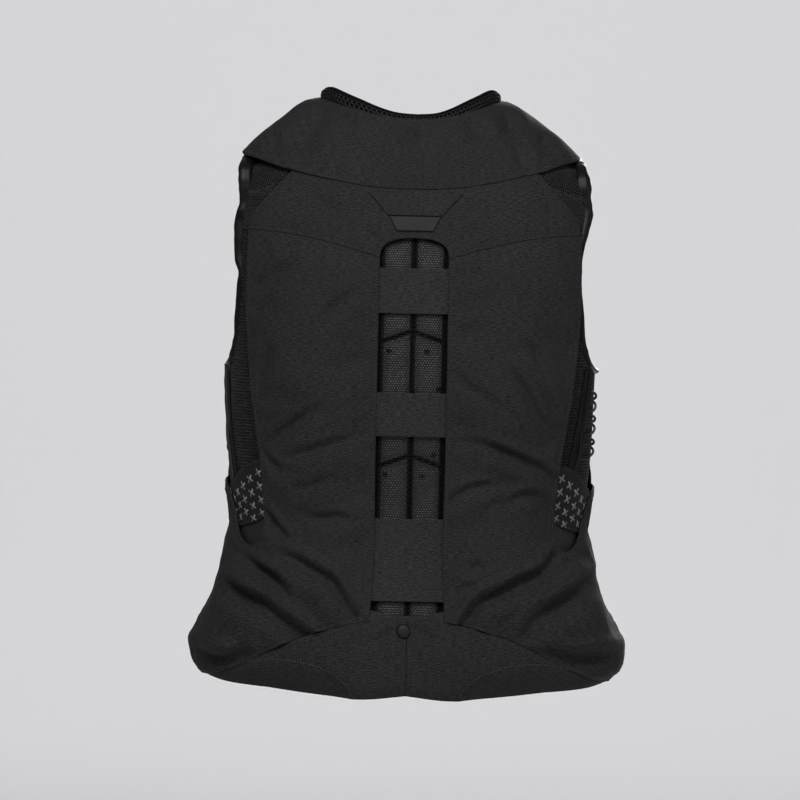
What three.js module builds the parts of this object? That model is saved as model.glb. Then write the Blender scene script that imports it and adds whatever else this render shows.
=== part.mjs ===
// Airbag riding vest, in the form that it has when worn. Millimetres, +Z up.
// Origin: the middle of the wearer's shoulder line. The back faces -Y and the front +Y.
// A place on the vest is an angle round the body (0 at the middle of the back, 90 at the right
// side, 180 at the front), a height, and a lift, which is the distance out from the wearer's side.

import * as THREE from 'three';

// Driving dimensions
const CLOTH = 2; // wall of the outer shell
const MESH = 4; // wall of the spacer mesh
const WEBBING = 1.2; // wall of bands, tabs and strips
const LACE = 2.4; // diameter of the side lace
const GAP = 0.4; // clearance at seams
const LAYER_GAP = 0.8; // clearance between layers
const SQUARENESS = 2.5; // exponent of the body's sections: 2 is an ellipse

// Lift of each layer's outer face
const STRIP_LIFT = MESH + LAYER_GAP + WEBBING;
const BAND_LIFT = STRIP_LIFT + LAYER_GAP + WEBBING;
const EDGE_LIFT = BAND_LIFT + LAYER_GAP + CLOTH;
const TRIM_LIFT = EDGE_LIFT + LAYER_GAP + WEBBING;
const FRONT_LIFT = MESH + LAYER_GAP + CLOTH;
const FRONT_TOP_LIFT = 3;

// Horizontal sections of the wearer's side: half-width, and depth behind and in front of the middle
const SECTIONS = [
  { z: -515, half: 168, back: 116, front: 106 },
  { z: -485, half: 183, back: 120, front: 112 },
  { z: -462, half: 190, back: 122, front: 115 },
  { z: -440, half: 184, back: 120, front: 115 },
  { z: -405, half: 170, back: 113, front: 113 },
  { z: -372, half: 162, back: 107, front: 112 },
  { z: -335, half: 157.5, back: 104, front: 113 },
  { z: -300, half: 163, back: 106, front: 116 },
  { z: -260, half: 166, back: 111, front: 119 },
  { z: -205, half: 167.5, back: 116, front: 120 },
  { z: -150, half: 170, back: 115, front: 112 },
  { z: -90, half: 172, back: 109, front: 98 },
  { z: -40, half: 172, back: 95, front: 82 },
  { z: -8, half: 165, back: 75, front: 60 },
  { z: 15, half: 150, back: 56, front: 40 },
];

// Spine window: half-width by height, and its arched top
const WINDOW = [
  { z: -430, half: 30 },
  { z: -260, half: 32.5 },
  { z: -91, half: 32 },
];
const WINDOW_TOP = -72;
const WINDOW_SHOULDER = -91;
const ARCH_POWER = 2.6;
const ARCH_STOPS = [12, 22, 28]; // corners of the faceted arch

// Outer edge of the back panel, seen from behind, down to the lowest point of its side notch,
// and the rise of the notch's far edge on the way from there to the side seam
const BACK_EDGE = [
  { z: -362, x: 141 },
  { z: -335, x: 136.5 },
  { z: -290, x: 139.5 },
  { z: -260, x: 144 },
  { z: -205, x: 152 },
  { z: -130, x: 157 },
  { z: -66, x: 156 },
];
const NOTCH_Z = -362;
const NOTCH_FAR_EDGE = [
  { share: 0, rise: 0 },
  { share: 0.1, rise: 4.5 },
  { share: 0.22, rise: 15 },
  { share: 0.34, rise: 30 },
  { share: 0.49, rise: 46 },
  { share: 1, rise: 64 },
];
const SIDE_SEAM = 100;
const PANEL_COLUMNS = 9;
const SKIRT_COLUMNS = 8;
const HEM_SKIRT_COLUMNS = 3; // of the skirt's columns, those that the hem panel runs under

// Yoke: its lower seam ends, and the corners of its cut-away outer edge, seen from behind
const YOKE_SEAM = { innerX: 32, innerZ: -91, outerX: 156, outerZ: -67.5 };
const YOKE_TOP = { middle: -16, cornerX: 114.7, cornerZ: -10, shoulderX: 152, shoulderZ: -51 };

// Seam at the top of the hem panel, and the hem's lower edge, by angle
const HEM_SEAM = [
  { angle: 0, z: -428 },
  { angle: 15, z: -430 },
  { angle: 37, z: -442 },
  { angle: 60, z: -464 },
  { angle: 74, z: -475 },
  { angle: 100, z: -478 },
];
const HEM_EDGE = [
  { angle: 0, z: -499 },
  { angle: 20, z: -503 },
  { angle: 37, z: -495 },
  { angle: 55, z: -486 },
  { angle: 76, z: -479 },
];
const HEM_ROLL = { height: 14, depth: 5, front: 3, run: 6 }; // the hem turns in over this height

// How far the shell stands out between its seams, by height
const CROWN = [
  { z: -478, crown: 6 },
  { z: -420, crown: 9 },
  { z: -350, crown: 6 },
  { z: -200, crown: 4.5 },
  { z: -70, crown: 3 },
];
const CROWN_RUN = 34; // distance from a seam at which the crown is full
const MM_PER_DEGREE = 2.9; // along the side of the body

// Folds of the back panels, seen from behind: the ends, half-width and depth of each valley
const FOLDS = [
  { x0: -152, z0: -330, x1: -108, z1: -357, width: 5, depth: 3 },
  { x0: -124, z0: -370, x1: -54, z1: -415, width: 6, depth: 4.5 },
  { x0: -158, z0: -385, x1: -98, z1: -438, width: 8, depth: 6 },
  { x0: -136, z0: -372, x1: -112, z1: -402, width: 5, depth: 3.5 },
  { x0: -174, z0: -462, x1: -148, z1: -464, width: 7, depth: 6 },
  { x0: -134, z0: -268, x1: -114, z1: -290, width: 6, depth: 3 },
  { x0: -62, z0: -126, x1: -84, z1: -148, width: 7, depth: 1.6 },
  { x0: 58, z0: -258, x1: 134, z1: -288, width: 6, depth: 3 },
  { x0: 42, z0: -316, x1: 82, z1: -302, width: 6, depth: 2.4 },
  { x0: 128, z0: -374, x1: 52, z1: -424, width: 7, depth: 5.5 },
  { x0: 160, z0: -390, x1: 112, z1: -432, width: 11, depth: 4 },
  { x0: 136, z0: -458, x1: 180, z1: -460, width: 7, depth: 6 },
  { x0: 74, z0: -172, x1: 118, z1: -230, width: 6, depth: 2.2 },
  { x0: 114, z0: -168, x1: 125, z1: -192, width: 6, depth: 1.6 },
];

// Trim of the back, seen from behind
const BANDS = [
  { name: 'spine_band_upper', top: -99.5, bottom: -142 },
  { name: 'spine_band_middle', top: -216, bottom: -257 },
  { name: 'spine_band_lower', top: -333, bottom: -409 },
];
const BAND_TUCK = 8; // length of a band's end under the shell
const HEM_FACING = { top: -416, scoop: 6, bottom: -446 };
const HANG_TAB = { top: -31, bottom: -52, topHalf: 44, bottomHalf: 25 };
const LABEL = { top: -52.6, bottom: -66, topHalf: 24, bottomHalf: 17 };
const SNAP = { x: -3, z: -437, radius: 6.2, height: 2.4 };

// Back liner: its armhole edge by height
const LINER_EDGE = [
  { z: -452, angle: 78 },
  { z: -200, angle: 78 },
  { z: -165, angle: 70.5 },
  { z: -90, angle: 67.5 },
  { z: -36, angle: 69.5 },
];
const LINER_BOTTOM = -452;

// Shoulder straps: the two edges, their height on the shoulder, and their ends behind and in front
const STRAP = {
  inner: { backX: 81, frontX: 86, top: 18, backEnd: -7, frontEnd: -13 },
  outer: { backX: 150, frontX: 130, top: -7, backEnd: -35, frontEnd: -40 },
};
const STRAP_SEAM = 3; // from the strap's end to the liner
const STRAP_FULLNESS = 0.8; // power of the arch's sine: below 1 it is fuller

// Front panel: its outer edge by height, and its top edge by angle
const FRONT_EDGE = [
  { z: -480, angle: 100.3 },
  { z: -305, angle: 100.3 },
  { z: -270, angle: 104 },
  { z: -205, angle: 107 },
  { z: -150, angle: 115 },
  { z: -75, angle: 118.5 },
  { z: -44, angle: 116 },
];
const FRONT_TOP = [
  { angle: 116, z: -44 },
  { angle: 126, z: -17 },
  { angle: 140, z: -28 },
  { angle: 160, z: -46 },
  { angle: 180, z: -52 },
];
const FRONT_MIDDLE = 179.9;
const FRONT_STEP = { below: -260, height: 40, angle: 12 }; // from the side seam's level to the front's
const FRONT_SEAT = 60; // height over which the front's top edge comes up
const ZIP = { half: 7, top: -63 };

// Armhole binding: a loop of rolled tape just beyond the edges that it binds
const BINDING = { width: 10, thickness: 5, beyond: 1.9, clear: 1.2, stations: 28, sides: 8 };
const BINDING_BEHIND = [-52, -90, -130, -165, -186];
const BINDING_UNDER = [83, 92, 101];
const BINDING_AHEAD = [-165, -130, -90, -58];
const BINDING_OVER = [0.78, 0.5, 0.22];

// Side opening. The lace strip leans differently on the two sides: its angle at its two ends.
const SIDES = [
  { name: 'left', sign: -1, stripTop: 85, stripBottom: 76 },
  { name: 'right', sign: 1, stripTop: 73, stripBottom: 66 },
];
const SIDE_MESH = { from: 78.3, seam: 0.3, top: -197.5, bottom: -385 };
const STRIP = { width: 4, top: -199, bottom: -304 };
const LACING = { top: -212, bottom: -276, crossings: 6, inset: 2.6, frontAngle: 101, stops: 4, sections: 5 };
const TAB = [
  { angle: 52, top: -274, bottom: -328 },
  { angle: 60.7, top: -279.5, bottom: -335 },
  { angle: 67.7, top: -286, bottom: -343 },
  { angle: 75.3, top: -299, bottom: -346 },
  { angle: 84, top: -307, bottom: -338 },
  { angle: 92, top: -312, bottom: -328 },
];
const NOTCH_FACING = { from: 52, to: 77.6, top: -318, bottom: -376 };

// Collar: height of its rim and foot and the foot's lift, by angle
const COLLAR_RIM = { half: 80, back: 72, front: 62 };
const COLLAR_BULGE = 3;
const COLLAR = [
  { angle: 0, rim: 40, foot: -29, lift: 13 },
  { angle: 25, rim: 43, foot: -27, lift: 13 },
  { angle: 45, rim: 50, foot: -20, lift: 13 },
  { angle: 60, rim: 55, foot: -11, lift: 13 },
  { angle: 75, rim: 58, foot: 0, lift: 6 },
  { angle: 90, rim: 59, foot: 5, lift: 1 },
  { angle: 110, rim: 56, foot: 0, lift: 10 },
  { angle: 125, rim: 50, foot: -12, lift: 12 },
  { angle: 140, rim: 42, foot: -28, lift: 10 },
  { angle: 155, rim: 34, foot: -46, lift: 7 },
  { angle: 180, rim: 26, foot: -60, lift: 7 },
];
const COLLAR_OPENING = 0.6; // angle left free on each side of the middle of the front

// Collar lining: a stand of spacer mesh inside the rim, a little higher than it
const LINING_FOOT = { half: 76, back: 72, front: 62 };
const LINING_WALL = 3;
const LINING_INSET = 1; // clearance to the collar's inner face
const LINING = [
  { angle: 0, rise: 3, foot: -4 },
  { angle: 45, rise: 10, foot: 4 },
  { angle: 90, rise: 10, foot: 24 },
  { angle: 135, rise: 8, foot: 4 },
  { angle: 180, rise: 4, foot: -14 },
];

// Materials
const cloth = new THREE.MeshStandardMaterial({ color: 0x242527, roughness: 0.85 });
const spacerMesh = new THREE.MeshStandardMaterial({ color: 0x17181a, roughness: 0.8 });
const satin = new THREE.MeshStandardMaterial({ color: 0x141517, roughness: 0.45 });
const printedTab = new THREE.MeshStandardMaterial({ color: 0x1d2022, roughness: 0.6 });
const labelFabric = new THREE.MeshStandardMaterial({ color: 0x33373a, roughness: 0.5 });
const laceCord = new THREE.MeshStandardMaterial({ color: 0x5a6064, roughness: 0.6 });
const snapPlastic = new THREE.MeshStandardMaterial({ color: 0x26282b, roughness: 0.4 });
const zipTape = new THREE.MeshStandardMaterial({ color: 0x18191b, roughness: 0.6 });

// Curves and surfaces

const { clamp, degToRad, radToDeg } = THREE.MathUtils;
const SOLVER_ROUNDS = 10;
const mix = (from, to, share) => from + (to - from) * share;
const ease = (share) => Math.sin((Math.PI / 2) * clamp(share, 0, 1));
const steps = (count) => Array.from({ length: count + 1 }, (_, i) => i / count);

// Smooth curve through one column of a table. It never leaves the range of the rows beside it.
function along(rows, key, column, at) {
  const last = rows.length - 1;
  if (at <= rows[0][key]) return rows[0][column];
  if (at >= rows[last][key]) return rows[last][column];
  const k = rows.findIndex((row) => row[key] > at) - 1;
  const secant = (i) => (rows[i + 1][column] - rows[i][column]) / (rows[i + 1][key] - rows[i][key]);
  const slope = (i) => {
    if (i === 0) return secant(0);
    if (i === last) return secant(last - 1);
    const [before, after] = [secant(i - 1), secant(i)];
    return before * after > 0 ? (2 * before * after) / (before + after) : 0;
  };
  const span = rows[k + 1][key] - rows[k][key];
  const t = (at - rows[k][key]) / span;
  const [p, q] = [rows[k][column], rows[k + 1][column]];
  const [m, n] = [slope(k) * span, slope(k + 1) * span];
  return p + t * (m + t * (3 * (q - p) - 2 * m - n + t * (2 * (p - q) + m + n)));
}

// Point of a rounded section with different depths behind and in front.
function ringPoint({ half, back, front }, angle, z) {
  const turn = degToRad(angle);
  const [s, c] = [Math.sin(turn), Math.cos(turn)];
  const depth = c > 0 ? back : front;
  const sum = Math.abs(s / half) ** SQUARENESS + Math.abs(c / depth) ** SQUARENESS;
  const radius = sum ** (-1 / SQUARENESS);
  return new THREE.Vector3(radius * s, -radius * c, z);
}

function sectionAt(z) {
  const section = {};
  for (const column of ['half', 'back', 'front']) section[column] = along(SECTIONS, 'z', column, z);
  return section;
}

// Point at a lift from the wearer's side.
function onBody(angle, z, lift) {
  const step = 0.5;
  const section = sectionAt(z);
  const across = ringPoint(section, angle + step, z).sub(ringPoint(section, angle - step, z));
  const up = ringPoint(sectionAt(z + step), angle, z + step);
  up.sub(ringPoint(sectionAt(z - step), angle, z - step));
  return ringPoint(section, angle, z).addScaledVector(across.cross(up).normalize(), lift);
}

// Place whose point on the shell's edge level is seen at this x and z from behind.
function seen(x, z) {
  const depth = sectionAt(z).back;
  let angle = radToDeg(Math.atan2(x, depth));
  let height = z;
  for (let i = 0; i < SOLVER_ROUNDS; i += 1) {
    const here = onBody(angle, height, EDGE_LIFT);
    const beside = onBody(angle + 1, height, EDGE_LIFT);
    angle += (x - here.x) / (beside.x - here.x);
    height += z - here.z;
  }
  return [angle, height];
}

// Geometry of a closed body from its corner points and triangles.
function solid(points, triangles) {
  const geometry = new THREE.BufferGeometry();
  const coordinates = points.flatMap((point) => point.toArray());
  geometry.setAttribute('position', new THREE.Float32BufferAttribute(coordinates, 3));
  geometry.setIndex(triangles.flat());
  geometry.computeVertexNormals();
  return geometry;
}

// Closed wall over patches of a surface. A patch maps (u, v) to a place, which the two faces turn
// into points. Patches that share an edge have the same places along it.
function wall(patches, outerFace, innerFace) {
  const found = new Map();
  const places = [];
  const quads = [];
  const numberOf = (place) => {
    const key = place.map((value) => value.toFixed(3)).join();
    if (!found.has(key)) found.set(key, places.push(place) - 1);
    return found.get(key);
  };
  for (const { columns, rows, place } of patches) {
    const corner = (i, j) => numberOf(place(i / columns, j / rows));
    for (let j = 0; j < rows; j += 1) {
      for (let i = 0; i < columns; i += 1) {
        quads.push([corner(i, j), corner(i + 1, j), corner(i + 1, j + 1), corner(i, j + 1)]);
      }
    }
  }
  const inside = places.length;
  const triangles = [];
  const rim = new Map();
  for (const [a, b, c, d] of quads) {
    triangles.push([a, b, c], [a, c, d]);
    triangles.push([c + inside, b + inside, a + inside], [d + inside, c + inside, a + inside]);
    for (const [p, q] of [[a, b], [b, c], [c, d], [d, a]]) {
      if (!rim.delete(`${q},${p}`)) rim.set(`${p},${q}`, [p, q]);
    }
  }
  for (const [p, q] of rim.values()) {
    triangles.push([q, p, p + inside], [q, p + inside, q + inside]);
  }
  return solid([...places.map(outerFace), ...places.map(innerFace)], triangles);
}

// Wall on the body. The lift of its outer face is a number or a function of angle and height.
function bodyWall(patches, lift, thickness) {
  const outer = typeof lift === 'function' ? lift : () => lift;
  return wall(
    patches,
    ([angle, z]) => onBody(angle, z, outer(angle, z)),
    ([angle, z]) => onBody(angle, z, outer(angle, z) - thickness),
  );
}

// Closed loop of tape: an oval section swept along a closed curve that runs the given way round,
// with its wide side along the flat direction.
function tapeLoop(curve, flat, { width, thickness, stations, sides }) {
  const points = [];
  const triangles = [];
  for (let i = 0; i < stations; i += 1) {
    const centre = curve.getPointAt(i / stations);
    const tangent = curve.getTangentAt(i / stations);
    const across = flat.clone().addScaledVector(tangent, -flat.dot(tangent)).normalize();
    const radial = tangent.clone().cross(across);
    for (let k = 0; k < sides; k += 1) {
      const turn = (2 * Math.PI * k) / sides;
      const point = centre.clone().addScaledVector(across, (width / 2) * Math.cos(turn));
      points.push(point.addScaledVector(radial, (thickness / 2) * Math.sin(turn)));
      const [a, b] = [i * sides + k, i * sides + ((k + 1) % sides)];
      const [c, d] = [a, b].map((corner) => (corner + sides) % (stations * sides));
      triangles.push([a, b, d], [a, d, c]);
    }
  }
  return solid(points, triangles);
}

function piece(name, geometry, material) {
  const mesh = new THREE.Mesh(geometry, material);
  mesh.name = name;
  return mesh;
}

// A patch of the right side, or its mirror image on the left.
function onSide(sign, columns, rows, place) {
  const mirrored = (u, v) => {
    const [angle, z] = place(1 - u, v);
    return [-angle, z];
  };
  return { columns, rows, place: sign > 0 ? place : mirrored };
}

// Back shell

const windowHalf = (z) => along(WINDOW, 'z', 'half', z);
const backEdge = (z) => along(BACK_EDGE, 'z', 'x', z);
const hemSeam = (angle) => along(HEM_SEAM, 'angle', 'z', angle);
const hemEdge = (angle) => along(HEM_EDGE, 'angle', 'z', angle);
const [NOTCH_ANGLE, NOTCH_HEIGHT] = seen(backEdge(NOTCH_Z), NOTCH_Z);
const HEM_END = mix(NOTCH_ANGLE, SIDE_SEAM, HEM_SKIRT_COLUMNS / SKIRT_COLUMNS);

function yokeSeam(x) {
  const { innerX, innerZ, outerX, outerZ } = YOKE_SEAM;
  return mix(innerZ, outerZ, ease((Math.abs(x) - innerX) / (outerX - innerX)));
}

function notchFarEdge(angle) {
  const share = (angle - NOTCH_ANGLE) / (SIDE_SEAM - NOTCH_ANGLE);
  return NOTCH_HEIGHT + along(NOTCH_FAR_EDGE, 'share', 'rise', share);
}

// Lift that the folds take away at a place, seen from behind.
function foldDepth(x, z) {
  let sum = 0;
  for (const { x0, z0, x1, z1, width, depth } of FOLDS) {
    const [dx, dz] = [x1 - x0, z1 - z0];
    const share = clamp(((x - x0) * dx + (z - z0) * dz) / (dx * dx + dz * dz), 0, 1);
    const distance = Math.hypot(x - x0 - share * dx, z - z0 - share * dz);
    sum += depth * Math.exp(-((distance / width) ** 2));
  }
  return sum;
}

// Distance of a place from the back panel's outer edge and its notch.
function fromOuterEdge(angle, x, z) {
  if (angle > NOTCH_ANGLE) return notchFarEdge(angle) - z;
  return Math.hypot(backEdge(z) - x, Math.max(0, NOTCH_Z - z));
}

// Outer lift of a back panel: the edge's at its seams, with a crown less the folds between them.
// Beyond the hem panel its lower edge turns in.
function panelLift(angle, height) {
  const turn = Math.abs(angle);
  const { x, z } = onBody(angle, height, EDGE_LIFT);
  const side = Math.abs(x);
  const above = height - hemSeam(turn);
  const distances = [
    side - windowHalf(z),
    yokeSeam(side) - z,
    fromOuterEdge(turn, side, z),
    (SIDE_SEAM - turn) * MM_PER_DEGREE,
    above,
  ];
  const share = distances.reduce((all, distance) => all * ease(distance / CROWN_RUN), 1);
  const crown = along(CROWN, 'z', 'crown', z) * share;
  const beyond = clamp((turn - HEM_END) / HEM_ROLL.run, 0, 1);
  const roll = HEM_ROLL.depth * beyond * (1 - ease(above / HEM_ROLL.height));
  return EDGE_LIFT + Math.max(0, crown - foldDepth(x, z) * ease(2 * share)) - roll;
}

// Places of a back panel between the spine window (u = 0) and the notch, above the notch's lowest
// point (v = 0), below it, and from there to the side seam (u = 1).
function abovePlace(u, v) {
  const z = mix(NOTCH_Z, yokeSeam(mix(YOKE_SEAM.innerX, YOKE_SEAM.outerX, u)) - GAP / 2, v);
  return seen(mix(windowHalf(z), backEdge(z), u), z);
}

function belowPlace(u, v) {
  const [angle, z] = abovePlace(u, 0);
  return [angle, mix(hemSeam(angle) + GAP / 2, z, v)];
}

function skirtPlace(u, v) {
  const angle = mix(NOTCH_ANGLE, SIDE_SEAM, u);
  return [angle, mix(hemSeam(angle) + GAP / 2, notchFarEdge(angle), v)];
}

function backPanel({ name, sign }) {
  const patches = [
    onSide(sign, PANEL_COLUMNS, 18, abovePlace),
    onSide(sign, PANEL_COLUMNS, 7, belowPlace),
    onSide(sign, SKIRT_COLUMNS, 7, skirtPlace),
  ];
  return piece(`back_panel_${name}`, bodyWall(patches, panelLift, CLOTH), cloth);
}

// Outer lift of the hem panel, which turns in at its lower edge.
function hemLift(angle, z) {
  const above = z - hemEdge(Math.abs(angle));
  return EDGE_LIFT - HEM_ROLL.depth * (1 - ease(above / HEM_ROLL.height));
}

// The hem panel has the back panel's columns, and two more across the window.
function hemPanel({ name, sign }) {
  const panel = steps(PANEL_COLUMNS).map((u) => belowPlace(u, 0)[0]);
  const skirt = steps(SKIRT_COLUMNS).map((u) => skirtPlace(u, 0)[0]);
  const angles = [GAP / 4, panel[0] / 2, ...panel, ...skirt.slice(1, HEM_SKIRT_COLUMNS + 1)];
  const place = (u, v) => {
    const angle = angles[Math.round(u * (angles.length - 1))];
    return [angle, mix(hemEdge(angle), hemSeam(angle) - GAP / 2, v)];
  };
  const patch = onSide(sign, angles.length - 1, 4, place);
  return piece(`hem_panel_${name}`, bodyWall([patch], hemLift, CLOTH), cloth);
}

// Top edge of the yoke: nearly level under the collar, then cut away towards the armhole.
function yokeTop(x) {
  const { middle, cornerX, cornerZ, shoulderX, shoulderZ } = YOKE_TOP;
  const side = Math.abs(x);
  if (side <= cornerX) return mix(middle, cornerZ, (side / cornerX) ** 2);
  if (side <= shoulderX) return mix(cornerZ, shoulderZ, (side - cornerX) / (shoulderX - cornerX));
  const { outerX, outerZ } = YOKE_SEAM;
  return mix(shoulderZ, outerZ + GAP, (side - shoulderX) / (outerX - shoulderX));
}

// Lower edge of the yoke: the seam to the panels, and the window's arch between them.
function yokeBottom(x) {
  const share = Math.abs(x) / windowHalf(WINDOW_SHOULDER);
  if (share >= 1) return yokeSeam(x);
  const rise = WINDOW_TOP - WINDOW_SHOULDER;
  return WINDOW_SHOULDER + rise * (1 - share ** ARCH_POWER) ** (1 / ARCH_POWER);
}

function backYoke() {
  const panel = steps(PANEL_COLUMNS).map((u) => mix(YOKE_SEAM.innerX, YOKE_SEAM.outerX - GAP, u));
  const right = [...ARCH_STOPS, ...panel.slice(0, -1), YOKE_TOP.shoulderX, ...panel.slice(-1)];
  const stops = [...right.map((x) => -x).reverse(), 0, ...right];
  const place = (u, v) => {
    const x = stops[Math.round(u * (stops.length - 1))];
    return seen(x, mix(yokeBottom(x) + GAP / 2, yokeTop(x), v));
  };
  const patch = { columns: stops.length - 1, rows: 3, place };
  return piece('back_yoke', bodyWall([patch], EDGE_LIFT, CLOTH), cloth);
}

// A strip across the spine, with its ends tucked under the shell and a scoop in its upper edge.
function spineStrip({ name, top, bottom, scoop = 0 }) {
  const place = (u, v) => {
    const share = 2 * u - 1;
    const z = mix(bottom, top - scoop * (1 - share ** 2), v);
    return seen(share * (windowHalf(z) + BAND_TUCK), z);
  };
  return piece(name, bodyWall([{ columns: 6, rows: 3, place }], BAND_LIFT, WEBBING), cloth);
}

// A sewn-on trapezium on the yoke.
function yokeTrapezium(name, { top, bottom, topHalf, bottomHalf }, material) {
  const place = (u, v) => seen((2 * u - 1) * mix(bottomHalf, topHalf, v), mix(bottom, top, v));
  return piece(name, bodyWall([{ columns: 6, rows: 2, place }], TRIM_LIFT, WEBBING), material);
}

function hemSnap() {
  const profile = [[0, 0], [1, 0], [1, 0.35], [0.86, 0.8], [0.5, 0.95], [0, 1]];
  const points = profile.map(([r, h]) => new THREE.Vector2(r * SNAP.radius, h * SNAP.height));
  const snap = piece('hem_snap', new THREE.LatheGeometry(points, 16), snapPlastic);
  const place = seen(SNAP.x, SNAP.z);
  const foot = onBody(...place, EDGE_LIFT + LAYER_GAP);
  const out = onBody(...place, EDGE_LIFT + LAYER_GAP + 1).sub(foot);
  snap.position.copy(foot);
  snap.quaternion.setFromUnitVectors(new THREE.Vector3(0, 1, 0), out);
  return snap;
}

// Liner and shoulders

const linerEdge = (z) => along(LINER_EDGE, 'z', 'angle', z);
const frontEdge = (z) => along(FRONT_EDGE, 'z', 'angle', z);

function backLiner() {
  const { inner, outer } = STRAP;
  const place = (u, v) => {
    const share = 2 * u - 1;
    const beyondNeck = (Math.abs(share) * outer.backX - inner.backX) / (outer.backX - inner.backX);
    const top = mix(inner.backEnd, outer.backEnd, clamp(beyondNeck, 0, 1)) - STRAP_SEAM;
    const z = mix(LINER_BOTTOM, top, v);
    return [share * linerEdge(z), z];
  };
  return piece('back_liner', bodyWall([{ columns: 16, rows: 20, place }], MESH, MESH), spacerMesh);
}

function sideMesh({ name, sign }) {
  const { from, top, bottom, seam } = SIDE_MESH;
  const place = (u, v) => {
    const z = mix(bottom, top, v);
    return [mix(from, frontEdge(z) - seam, u), z];
  };
  return piece(`side_mesh_${name}`, bodyWall([onSide(sign, 6, 8, place)], MESH, MESH), spacerMesh);
}

// Point of the right shoulder's arch, from its inner (u = 0) to its outer edge and from the back
// (v = 0) to the front.
function onStrap(u, v, lift) {
  const { inner, outer } = STRAP;
  const between = (column) => mix(inner[column], outer[column], u);
  const reach = (x, end, depth) => {
    const section = sectionAt(end);
    return section[depth] * (1 - (x / section.half) ** SQUARENESS) ** (1 / SQUARENESS) + lift;
  };
  const forward = (1 - Math.cos(Math.PI * v)) / 2;
  const backY = -reach(between('backX'), between('backEnd'), 'back');
  const frontY = reach(between('frontX'), between('frontEnd'), 'front');
  const end = mix(between('backEnd'), between('frontEnd'), forward);
  const rise = (between('top') + lift - end) * Math.sin(Math.PI * v) ** STRAP_FULLNESS;
  const x = mix(between('backX'), between('frontX'), forward);
  return new THREE.Vector3(x, mix(backY, frontY, forward), end + rise);
}

function shoulderStrap({ name, sign }) {
  const toSide = new THREE.Vector3(sign, 1, 1);
  const face = (lift) => ([u, v]) => onStrap(Math.abs(u), v, lift).multiply(toSide);
  const patch = onSide(sign, 4, 10, (u, v) => [u, v]);
  return piece(`shoulder_strap_${name}`, wall([patch], face(MESH), face(0)), spacerMesh);
}

function armholeBinding({ name, sign }) {
  const { beyond, clear, width, thickness } = BINDING;
  const under = SIDE_MESH.top + thickness / 2 + clear;
  const outside = new THREE.Vector3(width / 2 + LAYER_GAP, 0, 0);
  const route = [
    ...BINDING_BEHIND.map((z) => onBody(linerEdge(z) + beyond, z, MESH / 2)),
    ...BINDING_UNDER.map((angle) => onBody(angle, under, MESH / 2)),
    ...BINDING_AHEAD.map((z) => onBody(frontEdge(z) - beyond, z, FRONT_LIFT - CLOTH)),
    ...BINDING_OVER.map((v) => onStrap(1, v, MESH / 2).add(outside)),
  ];
  const points = route.map((point) => point.multiply(new THREE.Vector3(sign, 1, 1)));
  const curve = new THREE.CatmullRomCurve3(points, true);
  const flat = new THREE.Vector3(sign, 0, 0);
  return piece(`armhole_binding_${name}`, tapeLoop(curve, flat, BINDING), satin);
}

// Side opening

const stripAngle = ({ stripTop, stripBottom }, z) => (
  mix(stripBottom, stripTop, (z - STRIP.bottom) / (STRIP.top - STRIP.bottom))
);

function laceStrip(side) {
  const place = (u, v) => {
    const z = mix(STRIP.bottom, STRIP.top, v);
    return [stripAngle(side, z) + STRIP.width * (u - 0.5), z];
  };
  const patch = onSide(side.sign, 2, 10, place);
  return piece(`lace_strip_${side.name}`, bodyWall([patch], STRIP_LIFT, WEBBING), satin);
}

// Zigzag cord on the mesh between the lace strip and the front panel's edge.
function sideLace(side) {
  const turnAt = (i) => {
    const z = mix(LACING.top, LACING.bottom, i / LACING.crossings);
    const angle = i % 2 ? LACING.frontAngle : stripAngle(side, z) + LACING.inset;
    return [angle, z];
  };
  const points = [];
  const stops = LACING.crossings * LACING.stops;
  for (let i = 0; i <= stops; i += 1) {
    const crossing = Math.min(Math.floor(i / LACING.stops), LACING.crossings - 1);
    const share = i / LACING.stops - crossing;
    const [[fromAngle, fromZ], [toAngle, toZ]] = [turnAt(crossing), turnAt(crossing + 1)];
    const lift = MESH + LAYER_GAP + LACE / 2;
    points.push(onBody(side.sign * mix(fromAngle, toAngle, share), mix(fromZ, toZ, share), lift));
  }
  const section = new THREE.Shape().absarc(0, 0, LACE / 2, 0, 2 * Math.PI);
  const extrudePath = new THREE.CatmullRomCurve3(points);
  const options = { steps: LACING.crossings * LACING.sections, curveSegments: 4, extrudePath };
  return piece(`side_lace_${side.name}`, new THREE.ExtrudeGeometry(section, options), laceCord);
}

function sideTab({ name, sign }) {
  const place = (u, v) => {
    const angle = mix(TAB[0].angle, TAB[TAB.length - 1].angle, u);
    return [angle, mix(along(TAB, 'angle', 'bottom', angle), along(TAB, 'angle', 'top', angle), v)];
  };
  return piece(`side_tab_${name}`, bodyWall([onSide(sign, 10, 4, place)], BAND_LIFT, WEBBING), printedTab);
}

function notchFacing({ name, sign }) {
  const { from, to, top, bottom } = NOTCH_FACING;
  const place = (u, v) => [mix(from, to, u), mix(bottom, top, v)];
  return piece(`notch_facing_${name}`, bodyWall([onSide(sign, 6, 4, place)], STRIP_LIFT, WEBBING), satin);
}

// Front

// Outer lift of the front: low under the collar, level with the back shell along the side seam.
function frontLift(angle, z) {
  const turn = Math.abs(angle);
  const below = along(FRONT_TOP, 'angle', 'z', turn) - z;
  const seat = mix(FRONT_TOP_LIFT, FRONT_LIFT, ease(below / FRONT_SEAT));
  const beside = 1 - ease((turn - SIDE_SEAM) / FRONT_STEP.angle);
  const besideSeam = beside * ease((FRONT_STEP.below - z) / FRONT_STEP.height);
  const roll = mix(HEM_ROLL.front, HEM_ROLL.depth, besideSeam);
  const above = z - hemSeam(SIDE_SEAM);
  return mix(seat, EDGE_LIFT, besideSeam) - roll * (1 - ease(above / HEM_ROLL.height));
}

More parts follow.
